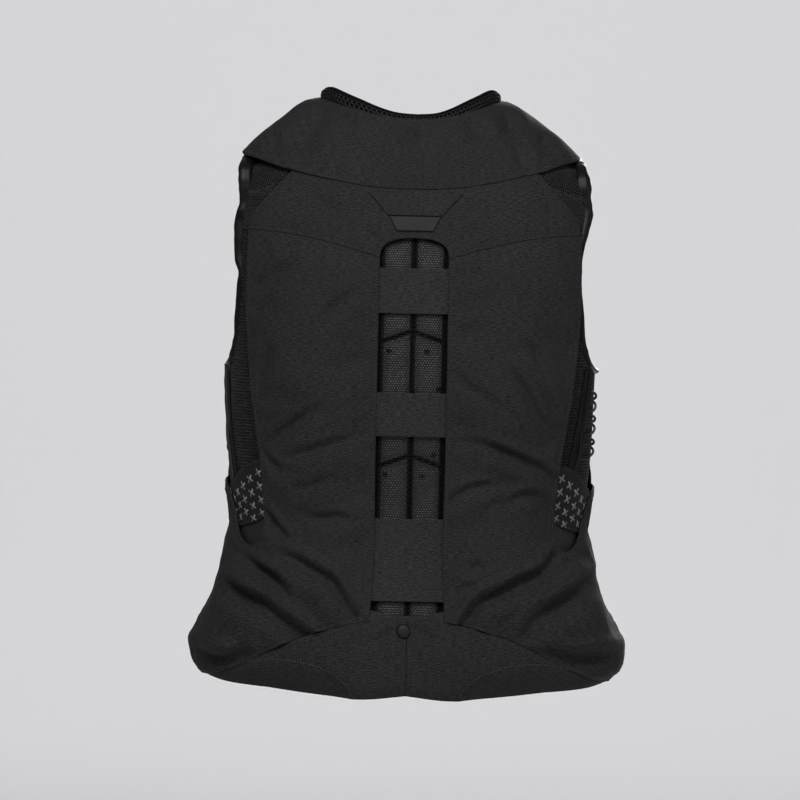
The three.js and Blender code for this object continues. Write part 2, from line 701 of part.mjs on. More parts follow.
function frontPanel({ name, sign }) {
  const place = (u, v) => {
    const topAngle = mix(FRONT_TOP[0].angle, FRONT_MIDDLE, u);
    const z = mix(hemSeam(SIDE_SEAM), along(FRONT_TOP, 'angle', 'z', topAngle), v);
    return [mix(frontEdge(z), FRONT_MIDDLE, u), z];
  };
  return piece(`front_panel_${name}`, bodyWall([onSide(sign, 8, 14, place)], frontLift, CLOTH), cloth);
}

function frontZip() {
  const place = (u, v) => {
    const z = mix(hemSeam(SIDE_SEAM), ZIP.top, v);
    return [180 + radToDeg(ZIP.half / sectionAt(z).front) * (2 * u - 1), z];
  };
  const lift = (angle, z) => frontLift(180, z) + LAYER_GAP + WEBBING;
  return piece('front_zip', bodyWall([{ columns: 2, rows: 14, place }], lift, WEBBING), zipTape);
}

// Collar

// Point of the collar between its foot (v = 0) and its rim, moved in by a depth.
function onCollar(angle, v, depth) {
  const column = (name) => along(COLLAR, 'angle', name, Math.abs(angle));
  const [rimZ, footZ, lift] = [column('rim'), column('foot'), column('lift')];
  let height = footZ;
  for (let i = 0; i < SOLVER_ROUNDS; i += 1) height += footZ - onBody(angle, height, lift).z;
  const foot = onBody(angle, height, lift);
  const rim = ringPoint(COLLAR_RIM, angle, rimZ);
  const slope = rim.clone().sub(foot).normalize();
  const out = new THREE.Vector3(rim.x, rim.y, 0);
  out.addScaledVector(slope, -out.dot(slope)).normalize();
  return foot.lerp(rim, v).addScaledVector(out, COLLAR_BULGE * Math.sin(Math.PI * v) - depth);
}

const roundNeck = (u) => mix(COLLAR_OPENING - 180, 180 - COLLAR_OPENING, u);

function collarOuter() {
  const patch = { columns: 36, rows: 4, place: (u, v) => [roundNeck(u), v] };
  const face = (depth) => ([angle, v]) => onCollar(angle, v, depth);
  return piece('collar', wall([patch], face(0), face(CLOTH)), cloth);
}

function collarLining() {
  const inset = ({ half, back, front }, by) => ({ half: half - by, back: back - by, front: front - by });
  const face = (depth) => ([angle, v]) => {
    const turn = Math.abs(angle);
    const topZ = along(COLLAR, 'angle', 'rim', turn) + along(LINING, 'angle', 'rise', turn);
    const top = ringPoint(inset(COLLAR_RIM, CLOTH + LINING_INSET + depth), angle, topZ);
    const footZ = along(LINING, 'angle', 'foot', turn);
    return ringPoint(inset(LINING_FOOT, depth), angle, footZ).lerp(top, v);
  };
  const patch = { columns: 30, rows: 2, place: (u, v) => [roundNeck(u), v] };
  return piece('collar_lining', wall([patch], face(0), face(LINING_WALL)), spacerMesh);
}

// Assembly

function group(...members) {
  const made = new THREE.Group();
  made.add(...members);
  return made;
}

const back = group(
  backYoke(),
  ...SIDES.map(backPanel),
  ...SIDES.map(hemPanel),
  ...BANDS.map(spineStrip),
  spineStrip({ name: 'hem_facing', ...HEM_FACING }),
  yokeTrapezium('hang_tab', HANG_TAB, cloth),
  yokeTrapezium('label', LABEL, labelFabric),
  hemSnap(),
);
const liner = group(backLiner(), ...SIDES.map(sideMesh), ...SIDES.map(shoulderStrap));
const armholes = group(...SIDES.map(armholeBinding));
const sideOpenings = group(
  ...SIDES.map(laceStrip),
  ...SIDES.map(sideLace),
  ...SIDES.map(sideTab),
  ...SIDES.map(notchFacing),
);
const front = group(...SIDES.map(frontPanel), frontZip());
const collar = group(collarOuter(), collarLining());

export default group(back, liner, armholes, sideOpenings, front, collar);
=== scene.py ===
"""Looks of the airbag riding vest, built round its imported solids.

Sizes are in millimetres until a mesh is made, which is in metres. +Z is up and the back faces -Y.
A place on the body is an angle round it (0 at the middle of the back, 90 at the right side, 180 at
the front) and a height. A lift is a distance out from the wearer's side.
"""

import math
from collections import namedtuple

import bpy
import numpy as np
from mathutils import Matrix, Vector, noise
from mathutils.bvhtree import BVHTree
from mathutils.kdtree import KDTree


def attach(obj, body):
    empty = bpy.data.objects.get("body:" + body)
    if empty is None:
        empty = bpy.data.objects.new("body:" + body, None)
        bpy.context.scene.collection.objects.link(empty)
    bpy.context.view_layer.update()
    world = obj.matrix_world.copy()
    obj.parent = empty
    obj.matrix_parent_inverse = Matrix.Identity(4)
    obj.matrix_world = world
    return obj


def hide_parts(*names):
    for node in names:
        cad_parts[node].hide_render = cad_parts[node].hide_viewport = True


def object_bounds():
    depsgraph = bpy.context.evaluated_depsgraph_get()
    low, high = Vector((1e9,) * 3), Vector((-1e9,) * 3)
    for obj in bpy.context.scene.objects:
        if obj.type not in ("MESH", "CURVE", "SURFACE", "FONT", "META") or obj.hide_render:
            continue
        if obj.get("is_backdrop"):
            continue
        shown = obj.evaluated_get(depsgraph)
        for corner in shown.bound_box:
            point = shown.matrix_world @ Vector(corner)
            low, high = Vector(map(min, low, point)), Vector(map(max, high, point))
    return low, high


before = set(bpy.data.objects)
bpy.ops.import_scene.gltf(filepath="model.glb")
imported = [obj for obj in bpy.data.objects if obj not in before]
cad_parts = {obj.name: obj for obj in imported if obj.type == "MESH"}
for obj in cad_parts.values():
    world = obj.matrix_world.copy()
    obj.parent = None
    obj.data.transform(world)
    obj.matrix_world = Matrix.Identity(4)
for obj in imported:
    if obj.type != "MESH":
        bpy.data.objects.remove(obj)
cad_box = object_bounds()

MM = 0.001


def table(columns, *rows):
    """Columns of a short table, by name."""
    return dict(zip(columns.split(), np.array(rows, float).T))


# Sizes of the layers, as in the part's source
CLOTH = 2.0
MESH = 4.0
WEBBING = 1.2
LACE = 2.4
GAP = 0.4
LAYER_GAP = 0.8
SQUARENESS = 2.5
STRIP_LIFT = MESH + LAYER_GAP + WEBBING
BAND_LIFT = STRIP_LIFT + LAYER_GAP + WEBBING
EDGE_LIFT = BAND_LIFT + LAYER_GAP + CLOTH
TRIM_LIFT = EDGE_LIFT + LAYER_GAP + WEBBING
FRONT_LIFT = MESH + LAYER_GAP + CLOTH
FRONT_TOP_LIFT = 6.4

# Horizontal sections of the wearer's side
SECTIONS = table(
    "z half back front",
    (-515, 168, 116, 106), (-485, 183, 120, 112), (-462, 190, 122, 115), (-440, 184, 120, 115),
    (-405, 170, 113, 113), (-372, 162, 107, 112), (-335, 157.5, 104, 113), (-300, 163, 106, 116),
    (-260, 166, 111, 119), (-205, 167.5, 116, 120), (-150, 170, 115, 112), (-90, 172, 109, 98),
    (-40, 172, 95, 82), (-8, 165, 75, 60), (15, 150, 56, 40),
)

# Back shell, seen from behind
WINDOW = table("z half", (-430, 30), (-260, 32.5), (-91, 32))
WINDOW_TOP, WINDOW_SHOULDER, ARCH_POWER = -72, -91, 2.6
BACK_EDGE = table(
    "z x",
    (-362, 145.5), (-360, 142), (-355, 139), (-335, 136), (-290, 139.5), (-260, 144), (-205, 152),
    (-130, 157), (-66, 156),
)
NOTCH_Z = -362
NOTCH_FAR_EDGE = table(
    "share rise",
    (0, 0), (0.08, 1), (0.15, 4.5), (0.22, 10), (0.29, 19), (0.35, 32), (0.416, 48), (0.5, 58), (1, 64),
)
SIDE_SEAM = 100
HEM_SHARE = 3 / 8  # of the skirt, which the hem panel runs under
YOKE_SEAM = {"inner_x": 32, "inner_z": -91, "outer_x": 156, "outer_z": -67.5}
YOKE_TOP = {"middle": -16, "corner_x": 114.7, "corner_z": -10, "shoulder_x": 152, "shoulder_z": -51}
HEM_SEAM = table(
    "angle z",
    (0, -428), (15, -430), (37, -442.5), (47, -455), (58, -469), (66, -477), (74, -480), (100, -480),
)
HEM_EDGE = table(
    "angle z",
    (0, -496.5), (20, -500.5), (34, -499), (44, -497), (55, -493), (67, -487.5), (76, -482),
)
HEM_ROLL = {"height": 14, "depth": 5, "front": 3, "run": 6}
HEM_TURN = table(  # stitched arc at which the hem turns in
    "x z",
    (50, -500), (54, -491), (62, -483), (69, -478), (81, -473), (97, -468.5), (116, -466.5), (141, -468.5),
    (161, -473.5), (178, -480),
)
HEM_TURN_SLOPE = 0.42
HEM_TURN_RADIUS = 5
HEM_TURN_CLEAR = 4
NO_TURN = -1000  # height where the hem isn't turned
CROWN = table("z crown", (-478, 6), (-420, 9), (-350, 6), (-200, 4.5), (-70, 3))
CROWN_RUN = 34
CROWN_EBB = {"from": 62, "run": 20, "share": 0.6}  # the crown sinks towards the sides
PANEL_LOW = -4.2  # as far as a fold may sink below the edges' level
MM_PER_DEGREE = 2.9

# Folds of the back, seen from behind: half-width and depth of the valley, how high the cloth stands
# above it, whether it keeps its depth at its two ends, and the places that it passes
Fold = namedtuple("Fold", "width depth ridge start end path")
FOLDS = (
    Fold(3.0, 4.6, 0.4, 1, 0, ((-135, -329), (-120, -345), (-107, -358))),
    Fold(3.8, 8.0, 0.4, 0, 0.6, (
        (-129, -367), (-107, -372), (-87, -383), (-69, -394), (-58, -411), (-47, -427),
    )),
    Fold(3.8, 7.6, 0.4, 0.2, 0, ((-158, -367), (-139, -382), (-122, -393), (-111, -404), (-111, -417))),
    Fold(4.6, 11.5, 0.4, 0, 1, (
        (-174, -391), (-153, -407), (-131, -418), (-113, -431), (-97, -442), (-92, -447),
    )),
    Fold(4.4, 11.0, 0.6, 0.3, 0.6, ((-192, -462), (-178, -467), (-164, -467), (-150, -462))),
    Fold(3.2, 3.2, 0.4, 0, 0, ((-100, -333), (-82, -334), (-62, -332), (-44, -340))),
    Fold(2.8, 3.4, 0.5, 0.6, 0, ((-139, -274), (-128, -283), (-115, -292))),
    Fold(3.2, 3.6, 0.5, 0.6, 0, ((-136, -268), (-119, -255), (-101, -240), (-81, -224))),
    Fold(3.2, 3.4, 0.4, 0, 0, ((-52, -117), (-73, -138), (-92, -161))),
    Fold(3.4, 2.8, 0.4, 0, 0, ((-120, -94), (-135, -112), (-148, -124))),
    Fold(3.4, 3.0, 0.4, 0, 0, ((-130, -160), (-135, -186), (-143, -220))),
    Fold(3.4, 3.2, 0.4, 0, 0, ((-118, -281), (-96, -272), (-70, -263), (-44, -256))),
    Fold(3.6, 2.6, 0.4, 0, 0, ((-117, -308), (-91, -304), (-64, -292))),
    Fold(3.0, 5.6, 0.5, 0.1, 0.6, ((52, -259), (75, -264), (98, -273), (120, -284), (136, -296))),
    Fold(3.0, 3.4, 0.5, 0.5, 0, ((37, -318), (47, -308), (62, -301), (84, -300))),
    Fold(3.0, 3.0, 0.5, 0, 0, ((89, -322), (95, -313), (106, -308), (126, -309))),
    Fold(3.8, 11.0, 0.3, 0.7, 1, (
        (134, -367), (120, -382), (101, -391), (84, -401), (67, -409), (60, -417), (53, -430), (51, -434),
    )),
    Fold(4.0, 4.6, 0.4, 0.2, 0, ((161, -365), (134, -382), (109, -398), (80, -412))),
    Fold(5.0, 8.5, 0.3, 0, 0.5, ((178, -379), (163, -390), (142, -408), (120, -423), (109, -438))),
    Fold(4.4, 12.0, 0.6, 0.5, 0.3, ((132, -456), (146, -460), (164, -460), (190, -458))),
    Fold(3.0, 2.6, 0.4, 0.4, 0, ((44, -399), (54, -396), (64, -395))),
    Fold(
        3.0, 4.2, 0.4, 0, 0.3,
        ((73, -175), (92, -195), (107, -216), (119, -238), (130, -258), (139, -268)),
    ),
    Fold(3.0, 3.2, 0.4, 0, 0, ((105, -164), (115, -178), (124, -194))),
    Fold(3.0, 3.0, 0.4, 0, 0, ((118, -206), (130, -222), (138, -238))),
    Fold(3.2, 2.4, 0.4, 0, 0, ((46, -373), (60, -377), (76, -376))),
    Fold(3.4, 2.2, 0.4, 0, 0, ((44, -204), (62, -214), (84, -232))),
)
YOKE_FOLDS = (
    Fold(3.0, 1.5, 0.6, 1, 0.6, ((-42, -67), (-35, -78), (-31, -88))),
    Fold(3.0, 1.3, 0.6, 1, 0.6, ((48, -64), (41, -75), (34, -87))),
    Fold(7.0, 1.4, 0.5, 0, 0, ((-96, -28), (-84, -44), (-66, -58))),
    Fold(7.0, 1.2, 0.5, 0, 0, ((72, -32), (92, -44), (112, -52))),
    Fold(8.0, 1.2, 0.5, 0, 0, ((118, -22), (126, -40), (138, -60))),
)
COLLAR_FOLDS = (
    Fold(7.0, 7.0, 0.5, 0.6, 0.3, ((-84, 54), (-98, 34), (-112, 14), (-122, -2))),
    Fold(3.6, 5.0, 0.5, 0, 0.5, ((92, 24), (98, 8), (105, -10))),
    Fold(8.0, 3.4, 0.4, 0, 0.3, ((-44, 16), (-48, 0), (-52, -20))),
    Fold(5.0, 6.6, 0.4, 0.5, 0, ((46, 41), (56, 31), (64, 16))),
    Fold(6.0, 6.0, 0.3, 0.7, 0, ((-18, 32), (-6, 25), (6, 20))),
    Fold(4.4, 4.2, 0.4, 0, 0, ((112, 32), (122, 18), (130, 4))),
    Fold(4.4, 5.6, 0.5, 0, 0, ((-126, 22), (-134, 9), (-139, -3))),
    Fold(4.4, 5.0, 0.5, 0.2, 0, ((76, 50), (88, 36), (94, 22))),
    Fold(6.0, 4.0, 0.4, 0, 0, ((-78, 30), (-64, 14), (-60, -4))),
    Fold(6.0, 5.0, 0.4, 0.6, 0, ((-76, 46), (-66, 38), (-52, 36))),
)
HEM_FOLDS = (
    Fold(5.0, 2.6, 0.3, 0, 0.8, ((-86, -478), (-70, -485), (-54, -497))),
    Fold(5.0, 2.6, 0.3, 0, 0.8, ((90, -478), (72, -484), (54, -497))),
    Fold(3.6, 1.8, 0.4, 0.6, 0, ((-10, -434), (-20, -441), (-34, -453))),
    Fold(3.6, 1.8, 0.4, 0.6, 0, ((5, -433), (18, -440), (31, -452))),
)
BAND_FOLDS = (
    Fold(2.4, 0.7, 0.6, 0.2, 0, ((-31, -381), (-24, -387), (-15, -394))),
    Fold(3.0, 0.9, 0.6, 0.6, 0, ((30, -419), (22, -424), (14, -427))),
    Fold(3.0, 0.7, 0.6, 0.6, 0, ((-30, -421), (-22, -425), (-12, -428))),
)
FOLD_FORM = {
    "points": 40, "fade": 0.4, "low_side": 1.9, "sharpness": 1.5, "crest": 2.3, "crest_width": 1.3,
    "uneven": 0.15, "waves": 7, "shift": 2.3,
}

# Slack of the cloth: height of its waves, of its middle and the run to its edges, with the seeds of
# its waves and puckers
Slack = namedtuple("Slack", "waves rise run seed pucker_seed")
SLACK = {
    "hem_panel": Slack(0.8, 0, 14, 11.0, 4.0),
    "back_yoke": Slack(0.7, 1.0, 16, 21.0, 5.0),
    "spine_band": Slack(0.35, 0.4, 8, 31.0, None),
    "front_panel": Slack(1.2, 1.2, 24, 41.0, 9.0),
    "collar": Slack(1.0, 1.0, 14, 51.0, 6.0),
}
WAVES = ((1.1, (70, 70, 46), 0), (0.45, (30, 30, 15), 7), (0.12, (11, 11, 8), 3))
SEAM = {"depth": 0.45, "width": 0.8, "pucker": 0.45, "size": 11, "at": 5, "run": 6}
BAND_HEM = {"height": 0.25, "width": 7, "run": 2}
HEM_FOLD_RUN = 5
PANEL_SLACK = {
    "seed": 3.1, "more": 0.8, "run": 40, "pucker_seed": 4.0, "rim": 1, "folds": 3, "seam_folds": 2,
}

# Crumple of the small pieces: height and size of its bumps, seed, run to the edges and rise
Crumple = namedtuple("Crumple", "height size seed run rise")
TRIM_CRUMPLE = Crumple(0.35, (16, 16, 9), 6.0, 5, 0.8)
STRIP_CRUMPLE = Crumple(0.5, (14, 14, 18), 3.0, 4, 0)
FACING_CRUMPLE = Crumple(0.7, (12, 12, 30), 4.0, 8, 0)
LINING_CRUMPLE = Crumple(0.7, (16, 16, 16), 7.0, 4, 0)
TAB_CRUMPLE = {
    "height": 0.7, "size": (22, 22, 30), "seed": 2.0, "run": 6, "rise": 0.5, "seam": 0.5, "seam_seed": 1.0,
}

# Trim of the back
BANDS = {"upper": (-99.5, -142), "middle": (-216, -257), "lower": (-333, -409)}
BAND_TUCK = 8
HEM_FACING = {"top": -416, "scoop": 6, "bottom": -446}
HANG_TAB = {"top": -31, "bottom": -52, "top_half": 44, "bottom_half": 25}
LABEL = {"top": -52.6, "bottom": -66, "top_half": 24, "bottom_half": 17}
SNAP = {"x": -3, "z": -437, "radius": 6.2, "height": 2.4}
SNAP_PROFILE = (  # shares of its radius and height
    (1.06, -0.6), (1.06, 0.12), (1.0, 0.3), (0.99, 0.55), (0.94, 0.8), (0.86, 0.95), (0.74, 1.02),
    (0.5, 1.08), (0.2, 1.12), (0.04, 1.12),
)
SNAP_SIDES = 40

# Spine plates behind the window's net: chevron seams at their heights, and hole clusters, drawn as black
# discs of painted shade
CHEVRONS = (-158, -275)
CHEVRON_DROP = 11
PLATE_HALF = 28.6
GROOVE = table(
    "z half",
    (-430, 1.9), (-286, 1.6), (-274, 2.0), (-220, 1.6), (-172, 1.0), (-160, 2.0), (-70, 1.9),
)
ROSETTES = table("x z", (-22, -177), (13.5, -177), (25.5, -212), (22, -274), (-23.5, -293), (11, -294))
PLATE = {
    "lift": 2.0, "inner": 2.5, "seam": 0.9, "above": 6, "below": 12, "crown": 1.2, "run": 6, "clear": 0.2,
}
ROSETTE = {"holes": 5, "reach": 2.0, "sides": 10}
ROSETTE_PROFILE = ((0.5, -0.5), (0.78, -0.1), (0.7, 0.12), (0.4, 0.16))

# Liner, shoulders and armholes
LINER_EDGE = table("z angle", (-452, 78), (-200, 78), (-165, 70.5), (-90, 67.5), (-36, 69.5))
LINER_BOTTOM, LINER_TOP = -452, -30
LINER_RISE = 1  # above the ends of the straps
LINER_SPARE = 1.2  # degrees of mesh that the armhole's binding covers
LINER_CORNER = {"z": -192, "run": 7, "angle": 2.6}  # more of it, where the binding turns forward
STRAP_INNER = {"back_x": 81, "front_x": 86, "top": 18, "back_end": -7, "front_end": -20}
STRAP_OUTER = {"back_x": 150, "front_x": 130, "top": -2, "back_end": -35, "front_end": -48}
STRAP_FULLNESS = 0.8
STRAP_SPARE = 1.16  # share of the width, with what the binding covers at the top
STRAP_END_SPARE = (1.11, 1.02)  # at the back and the front end
STRAP_END_RUN = 2.4
BINDING = {
    "width": 10, "thickness": 5, "beyond": 1.9, "ahead": 0.8, "clear": 1.2, "stations": 300, "sides": 22,
    "power": 2.4,
}
BINDING_BEHIND = (-46, -60, -75, -90, -110, -130, -150, -168, -186)
BINDING_UNDER = (83, 92, 100, 105.5)
BINDING_AHEAD = (-183, -165, -130, -90, -58)
BINDING_OVER = (0.78, 0.5, 0.22)
BINDING_SHOULDER = {"from": -70, "run": 50, "wide": 0.5, "thick": 0.1, "crumple": 0.16}
BINDING_CRUMPLE = {
    "height": 0.1, "size": 8, "seed": 5.0, "broad": 0.08, "broad_size": 26, "broad_seed": 9.0,
}
BINDING_CREASE = {"at": (1.9, 4.4), "width": 0.22, "drift": 0.25, "depth": 0.2}  # round its section
BINDING_TURN = 20  # depth over which its back part passes into its front part
# Each armhole's own run behind the arm: shift of its edge in degrees, and width of its binding
ARMHOLE_RUN = {
    -1: table(
        "z shift wide",
        (-197, 0, 1), (-160, 0.4, 1), (-122, 0.6, 0.95), (-108, 0.9, 0.75), (-96, 2.0, 1.35),
        (-66, 2.2, 1.5), (-40, 0.8, 1.3), (0, 0, 1.2),
    ),
    1: table(
        "z shift wide",
        (-197, 0, 1), (-186, -3.6, 1), (-110, -4, 1), (-86, -2.2, 0.8), (-64, -0.3, 1.1), (-46, 0.9, 1.4),
        (-20, 0.4, 1.2), (0, 0, 1.1),
    ),
}
BINDING_CAP = {-1: (6.0, 2.0), 1: (1.5, 3.0)}  # out and up, over the shoulder

# Front
FRONT_EDGE = table(
    "z angle",
    (-480, 100), (-305, 100), (-270, 104), (-205, 107), (-150, 115), (-75, 118.5), (-44, 116),
)
FRONT_TOP = table("angle z", (116, -44), (126, -17), (140, -28), (160, -46), (180, -52))
FRONT_MIDDLE = 179.9
FRONT_STEP = {"below": -260, "height": 40, "angle": 12}
FRONT_SEAT = 60
ZIP = {"half": 7, "top": -63}
ZIP_TOOTH = {"wide": 1.7, "tall": 0.85, "top_wide": 0.8, "top_tall": 0.7, "foot": -0.2, "height": 1.0}
ZIP_TEETH = {"pitch": 1.45, "shift": 0.75, "bottom": 6, "top": 4}

# Side openings: the strip's angle at its two ends
Side = namedtuple("Side", "name sign strip_top strip_bottom")
SIDES = (Side("left", -1, 85, 76), Side("right", 1, 73, 66))
SIDE_MESH = {"from": 78.3, "under": 3, "top": -197.5, "tuck": 4, "corner": 10, "bottom": -385}
STRIP = {"width": 4, "top": -192.5, "bottom": -304}
LACING = {"top": -212, "bottom": -276, "crossings": 6, "inset": 2.6, "front_angle": 101, "stops": 4}
BRAID = {"stations": 320, "sides": 10, "twist": 2.4, "core": 0.96, "relief": 0.1}
PIPING = {
    "size": 5.0, "flat": 0.8, "end": 2, "inset": 0.2, "lift": 0.4, "wander": 1.3, "wander_size": 17,
    "wander_seed": 2.0, "swell": 0.2, "swell_size": 11, "swell_seed": 8.0, "stations": 90, "sides": 14,
}
TAB = table(
    "angle top bottom",
    (52, -274, -328), (60.7, -279.5, -335), (67.7, -286, -343), (75.3, -299, -346), (84, -307, -338),
    (92, -312, -328),
)
NOTCH_FACING = {"from": 52, "to": 77.6, "top": -318, "bottom": -376}

# Collar and its lining
COLLAR_RIM = (80, 72, 62)
COLLAR_BULGE = 3
COLLAR = table(
    "angle rim foot lift",
    (0, 40, -26.5, 13), (10, 40.4, -26.3, 13), (25, 43, -24.5, 13), (45, 50, -17.5, 13), (60, 55, -9, 13),
    (75, 58, 1, 6),
    (90, 59, 5, 1), (110, 56, 0, 10), (125, 50, -12, 12), (140, 42, -28, 10), (155, 34, -46, 7),
    (180, 26, -60, 7),
)
COLLAR_OPENING = 0.6
COLLAR_LEAN = {"rim": -13, "tip": -5}  # shift to the left, of the rim's left side and of the two tips
LINING_FOOT = (76, 72, 62)
LINING_WALL = 3
LINING_INSET = 1
LINING_ROUND = 0.6
LINING = table(
    "angle rise foot",
    (0, 3, -4), (14, 3.4, -3.6), (40, 9, 3), (60, 11.5, 10), (76, 7, 18), (90, 0.5, 24), (135, 3, 4),
    (180, 4, -14),
)
COLLAR_EDGE = {"roll": 2.0, "run": 9}
COLLAR_DEPTH = 30  # behind the shoulders, over which the folds set in
COLLAR_ARC, LINING_ARC = 1.9, 1.25  # millimetres for a degree

# Pierced nets of the spacer mesh: pitch and radius of the holes, and lifts of the strands, of the
# holes' rims and of the back
Net = namedtuple("Net", "pitch hole strand rim back")
NET = Net(3.4, 1.28, 4.0, 3.6, 2.3)
FINE_NET = Net(2.5, 1.0, 4.0, 3.6, 2.3)  # of the shoulders, seen from behind
WINDOW_NET = Net(2.5, 0.95, 4.6, 4.2, 3.3)
LINING_NET = Net(3.8, 1.2, 1.2, 0.9, 0.05)
KNIT = 2.2  # lift of the solid knit below the nets
SPINE_NET = {"half": 36, "bottom": -432, "top": -68, "under": 3, "foot": 8, "seam": 1.0}
SIDE_NET = {
    "bottom": -340, "fine_from": -66, "top": -6, "near": 110, "far": 330, "behind": 5, "under_yoke": 40,
    "yoke_cover": 7, "edge_spare": 0.4, "front_spare": 0.6, "rise": 2,
}
STRAP_NET = {"fine_to": 46, "end": 1.5, "inner": 0.25, "stations": 200}
COLLAR_NET = {"reach": 225, "end": 1.5}
COLLAR_NET_PARTS = {"outside": (0.6, 120), "inside": (0.4, 178)}  # lowest share and widest angle

# Print of the side tabs: small crosses in staggered rows
PRINT = {
    "length": 8.4, "width": 1.7, "lean": 45, "sway": 16, "across": 11.2, "up": 12.6, "middle": -312,
    "angle": 66, "from": 54, "to": 90, "room": 4.2, "height": 0.22, "sink": 0.2, "rows": 6,
}

# Fineness: rough width and height of the pieces, and the steps of their meshes across and up
STEP = 2.0
EDGE_STOPS = (0.3, 0.8, 1.5)
EDGE_CLEAR = 1.4
ROUND_OFF = 0.45  # share of a wall's thickness to which its edges are rolled
SPLINE_STEPS = 24
SEARCH_STEPS = 10
SWEEP_GIRTH = 10
Grid = namedtuple("Grid", "wide tall step rise")
GRIDS = {
    "hem_panel": Grid(170, 66, STEP, 1.6),
    "back_liner": Grid(330, 430, 7, 7),
    "side_mesh": Grid(70, 188, 4, 4),
    "shoulder_strap": Grid(74, 170, 4, 4),
    "lace_strip": Grid(11.5, 105, 1, STEP),
    "side_tab": Grid(105, 52, 1.8, 1.8),
    "notch_facing": Grid(70, 58, STEP, STEP),
    "front_panel": Grid(170, 430, 3.4, 3.4),
    "front_panel_coarse": Grid(170, 430, 8, 8),
    "front_zip": Grid(14, 415, 1.5, 4),
    "collar": Grid(640, 85, 2.4, STEP),
    "collar_lining": Grid(430, 50, 4, 2),
}
PANEL = {"wide": 118, "above": 295, "below": 110, "skirt": 115, "step": 1.7, "coarse": 5.0}
YOKE = {"wide": 124, "tall": 62, "rise": 1.8, "arch_stops": 18}
BAND_WIDTH = 80
TRIM_STEP = 1.6
PLATE_GRID = {"wide": 26, "rise": 3}

# Cloth simulation of the padded panels
SETTLE = {
    "frames": 20, "pressure": 0.6, "growth": 0.02, "pinned": 1.0, "cap": 2.5, "near": 8, "spread": 4.0,
    "edge": 14,
}

# Sewing: where the rows of stitches start and end
STITCH = {"pitch": 2.8, "inset": 2.6, "ahead": 0.4, "thread_sides": 5, "hole_sides": 6}
THREAD_PROFILE = ((-0.95, 0.1, -0.2), (-0.6, 0.34, 0.06), (0.6, 0.34, 0.06), (0.95, 0.1, -0.2))
# Needle holes are drawn as short black discs on the cloth: painted shade of the holes
HOLE_PROFILE = ((0.52, -0.3), (0.52, 0.04))
LONG_ROW, SHORT_ROW = 200, 120  # points of a row
FRONT_PITCH = 4.0
CAST = {"from": 45.0, "reach": 70.0}
WINDOW_ROW = (-424, -94)
YOKE_ROW = (36, 153)
EDGE_ROWS = ((3, -357, -72, LONG_ROW), (6, -357, -300, SHORT_ROW))  # inset, ends and points
NOTCH_ROWS = (3.6, 7.6)
NOTCH_ROW = {"start": 0.3, "end": 96, "points": 300, "clear": 1}
HEM_ROWS = ((-33.6, -436, -496), (31.0, -436, -496), (2.4, -446, -495))  # x and ends
HEM_ROW_END = 1
HEM_TURN_ROW = (49, 168)
HEM_TURN_RISE = 0.5
COLLAR_ROWS = (0.035, 0.95)
COLLAR_ROW = {"end": 177, "points": 700}
BAND_ROWS = (-336.5, -397)  # tucks of the lower band
BAND_ROW = 33
TAB_ROW = {"from": 0.06, "to": 0.94, "inset": 2}
FRONT_ROWS = {
    "bottom": -470, "middle": 174.5, "middle_top": -70, "edge": 1.3, "edge_top": -60, "foot": (103, 172),
}
SIDE_TAB_ROW = {"from": 55, "to": 91, "inset": 2.2}

# Grain of the materials: scales of their noise across and along the cloth, shades, and depth and strength
# of their bumps
FINE_DETAIL = 3.0
WOVEN = {
    "slubs": (210, 1250), "grain": (950, 1150), "cloud": (14, 14), "ramp": (0.4, 0.62), "shade": 0.86,
    "depth": 0.00025, "strength": 0.5,
}
KNITTED = {
    "yarn": (900, 900), "cloud": (40, 40), "dark": 0.6, "high": 0.75, "shade": 0.75, "depth": 0.0003,
    "strength": 0.5,
}
SATIN = {
    "grain": (1600, 60), "cloud": (60, 25), "dark": 0.8, "light": 1.25, "shade": 0.8, "depth": 0.0002,
    "strength": 0.35,
}
PLAIN = {"depth": 0.00008, "strength": 0.5}

# Soft pieces: width, length and hold of the sheets, and what they lie on
Sheet = namedtuple("Sheet", "width length held rests_on")
SHEETS = {
    "spine_band_upper": Sheet(82, 43, "stretched", "back_liner"),
    "spine_band_middle": Sheet(82, 42, "stretched", "back_liner"),
    "spine_band_lower": Sheet(82, 77, "stretched", "back_liner"),
    "hem_facing": Sheet(80, 30, "stretched", "back_liner"),
    "hang_tab": Sheet(88, 22, "laid", "back_yoke"),
    "label": Sheet(49, 14, "laid", "back_yoke"),
}
for each in SIDES:
    SHEETS[f"hem_panel_{each.name}"] = Sheet(215, 74, "stretched", f"back_panel_{each.name}")
    SHEETS[f"side_tab_{each.name}"] = Sheet(112, 60, "stretched", f"side_mesh_{each.name}")
    SHEETS[f"notch_facing_{each.name}"] = Sheet(78, 60, "stretched", "back_liner")
    SHEETS[f"lace_strip_{each.name}"] = Sheet(13, 114, "stretched", f"side_mesh_{each.name}")

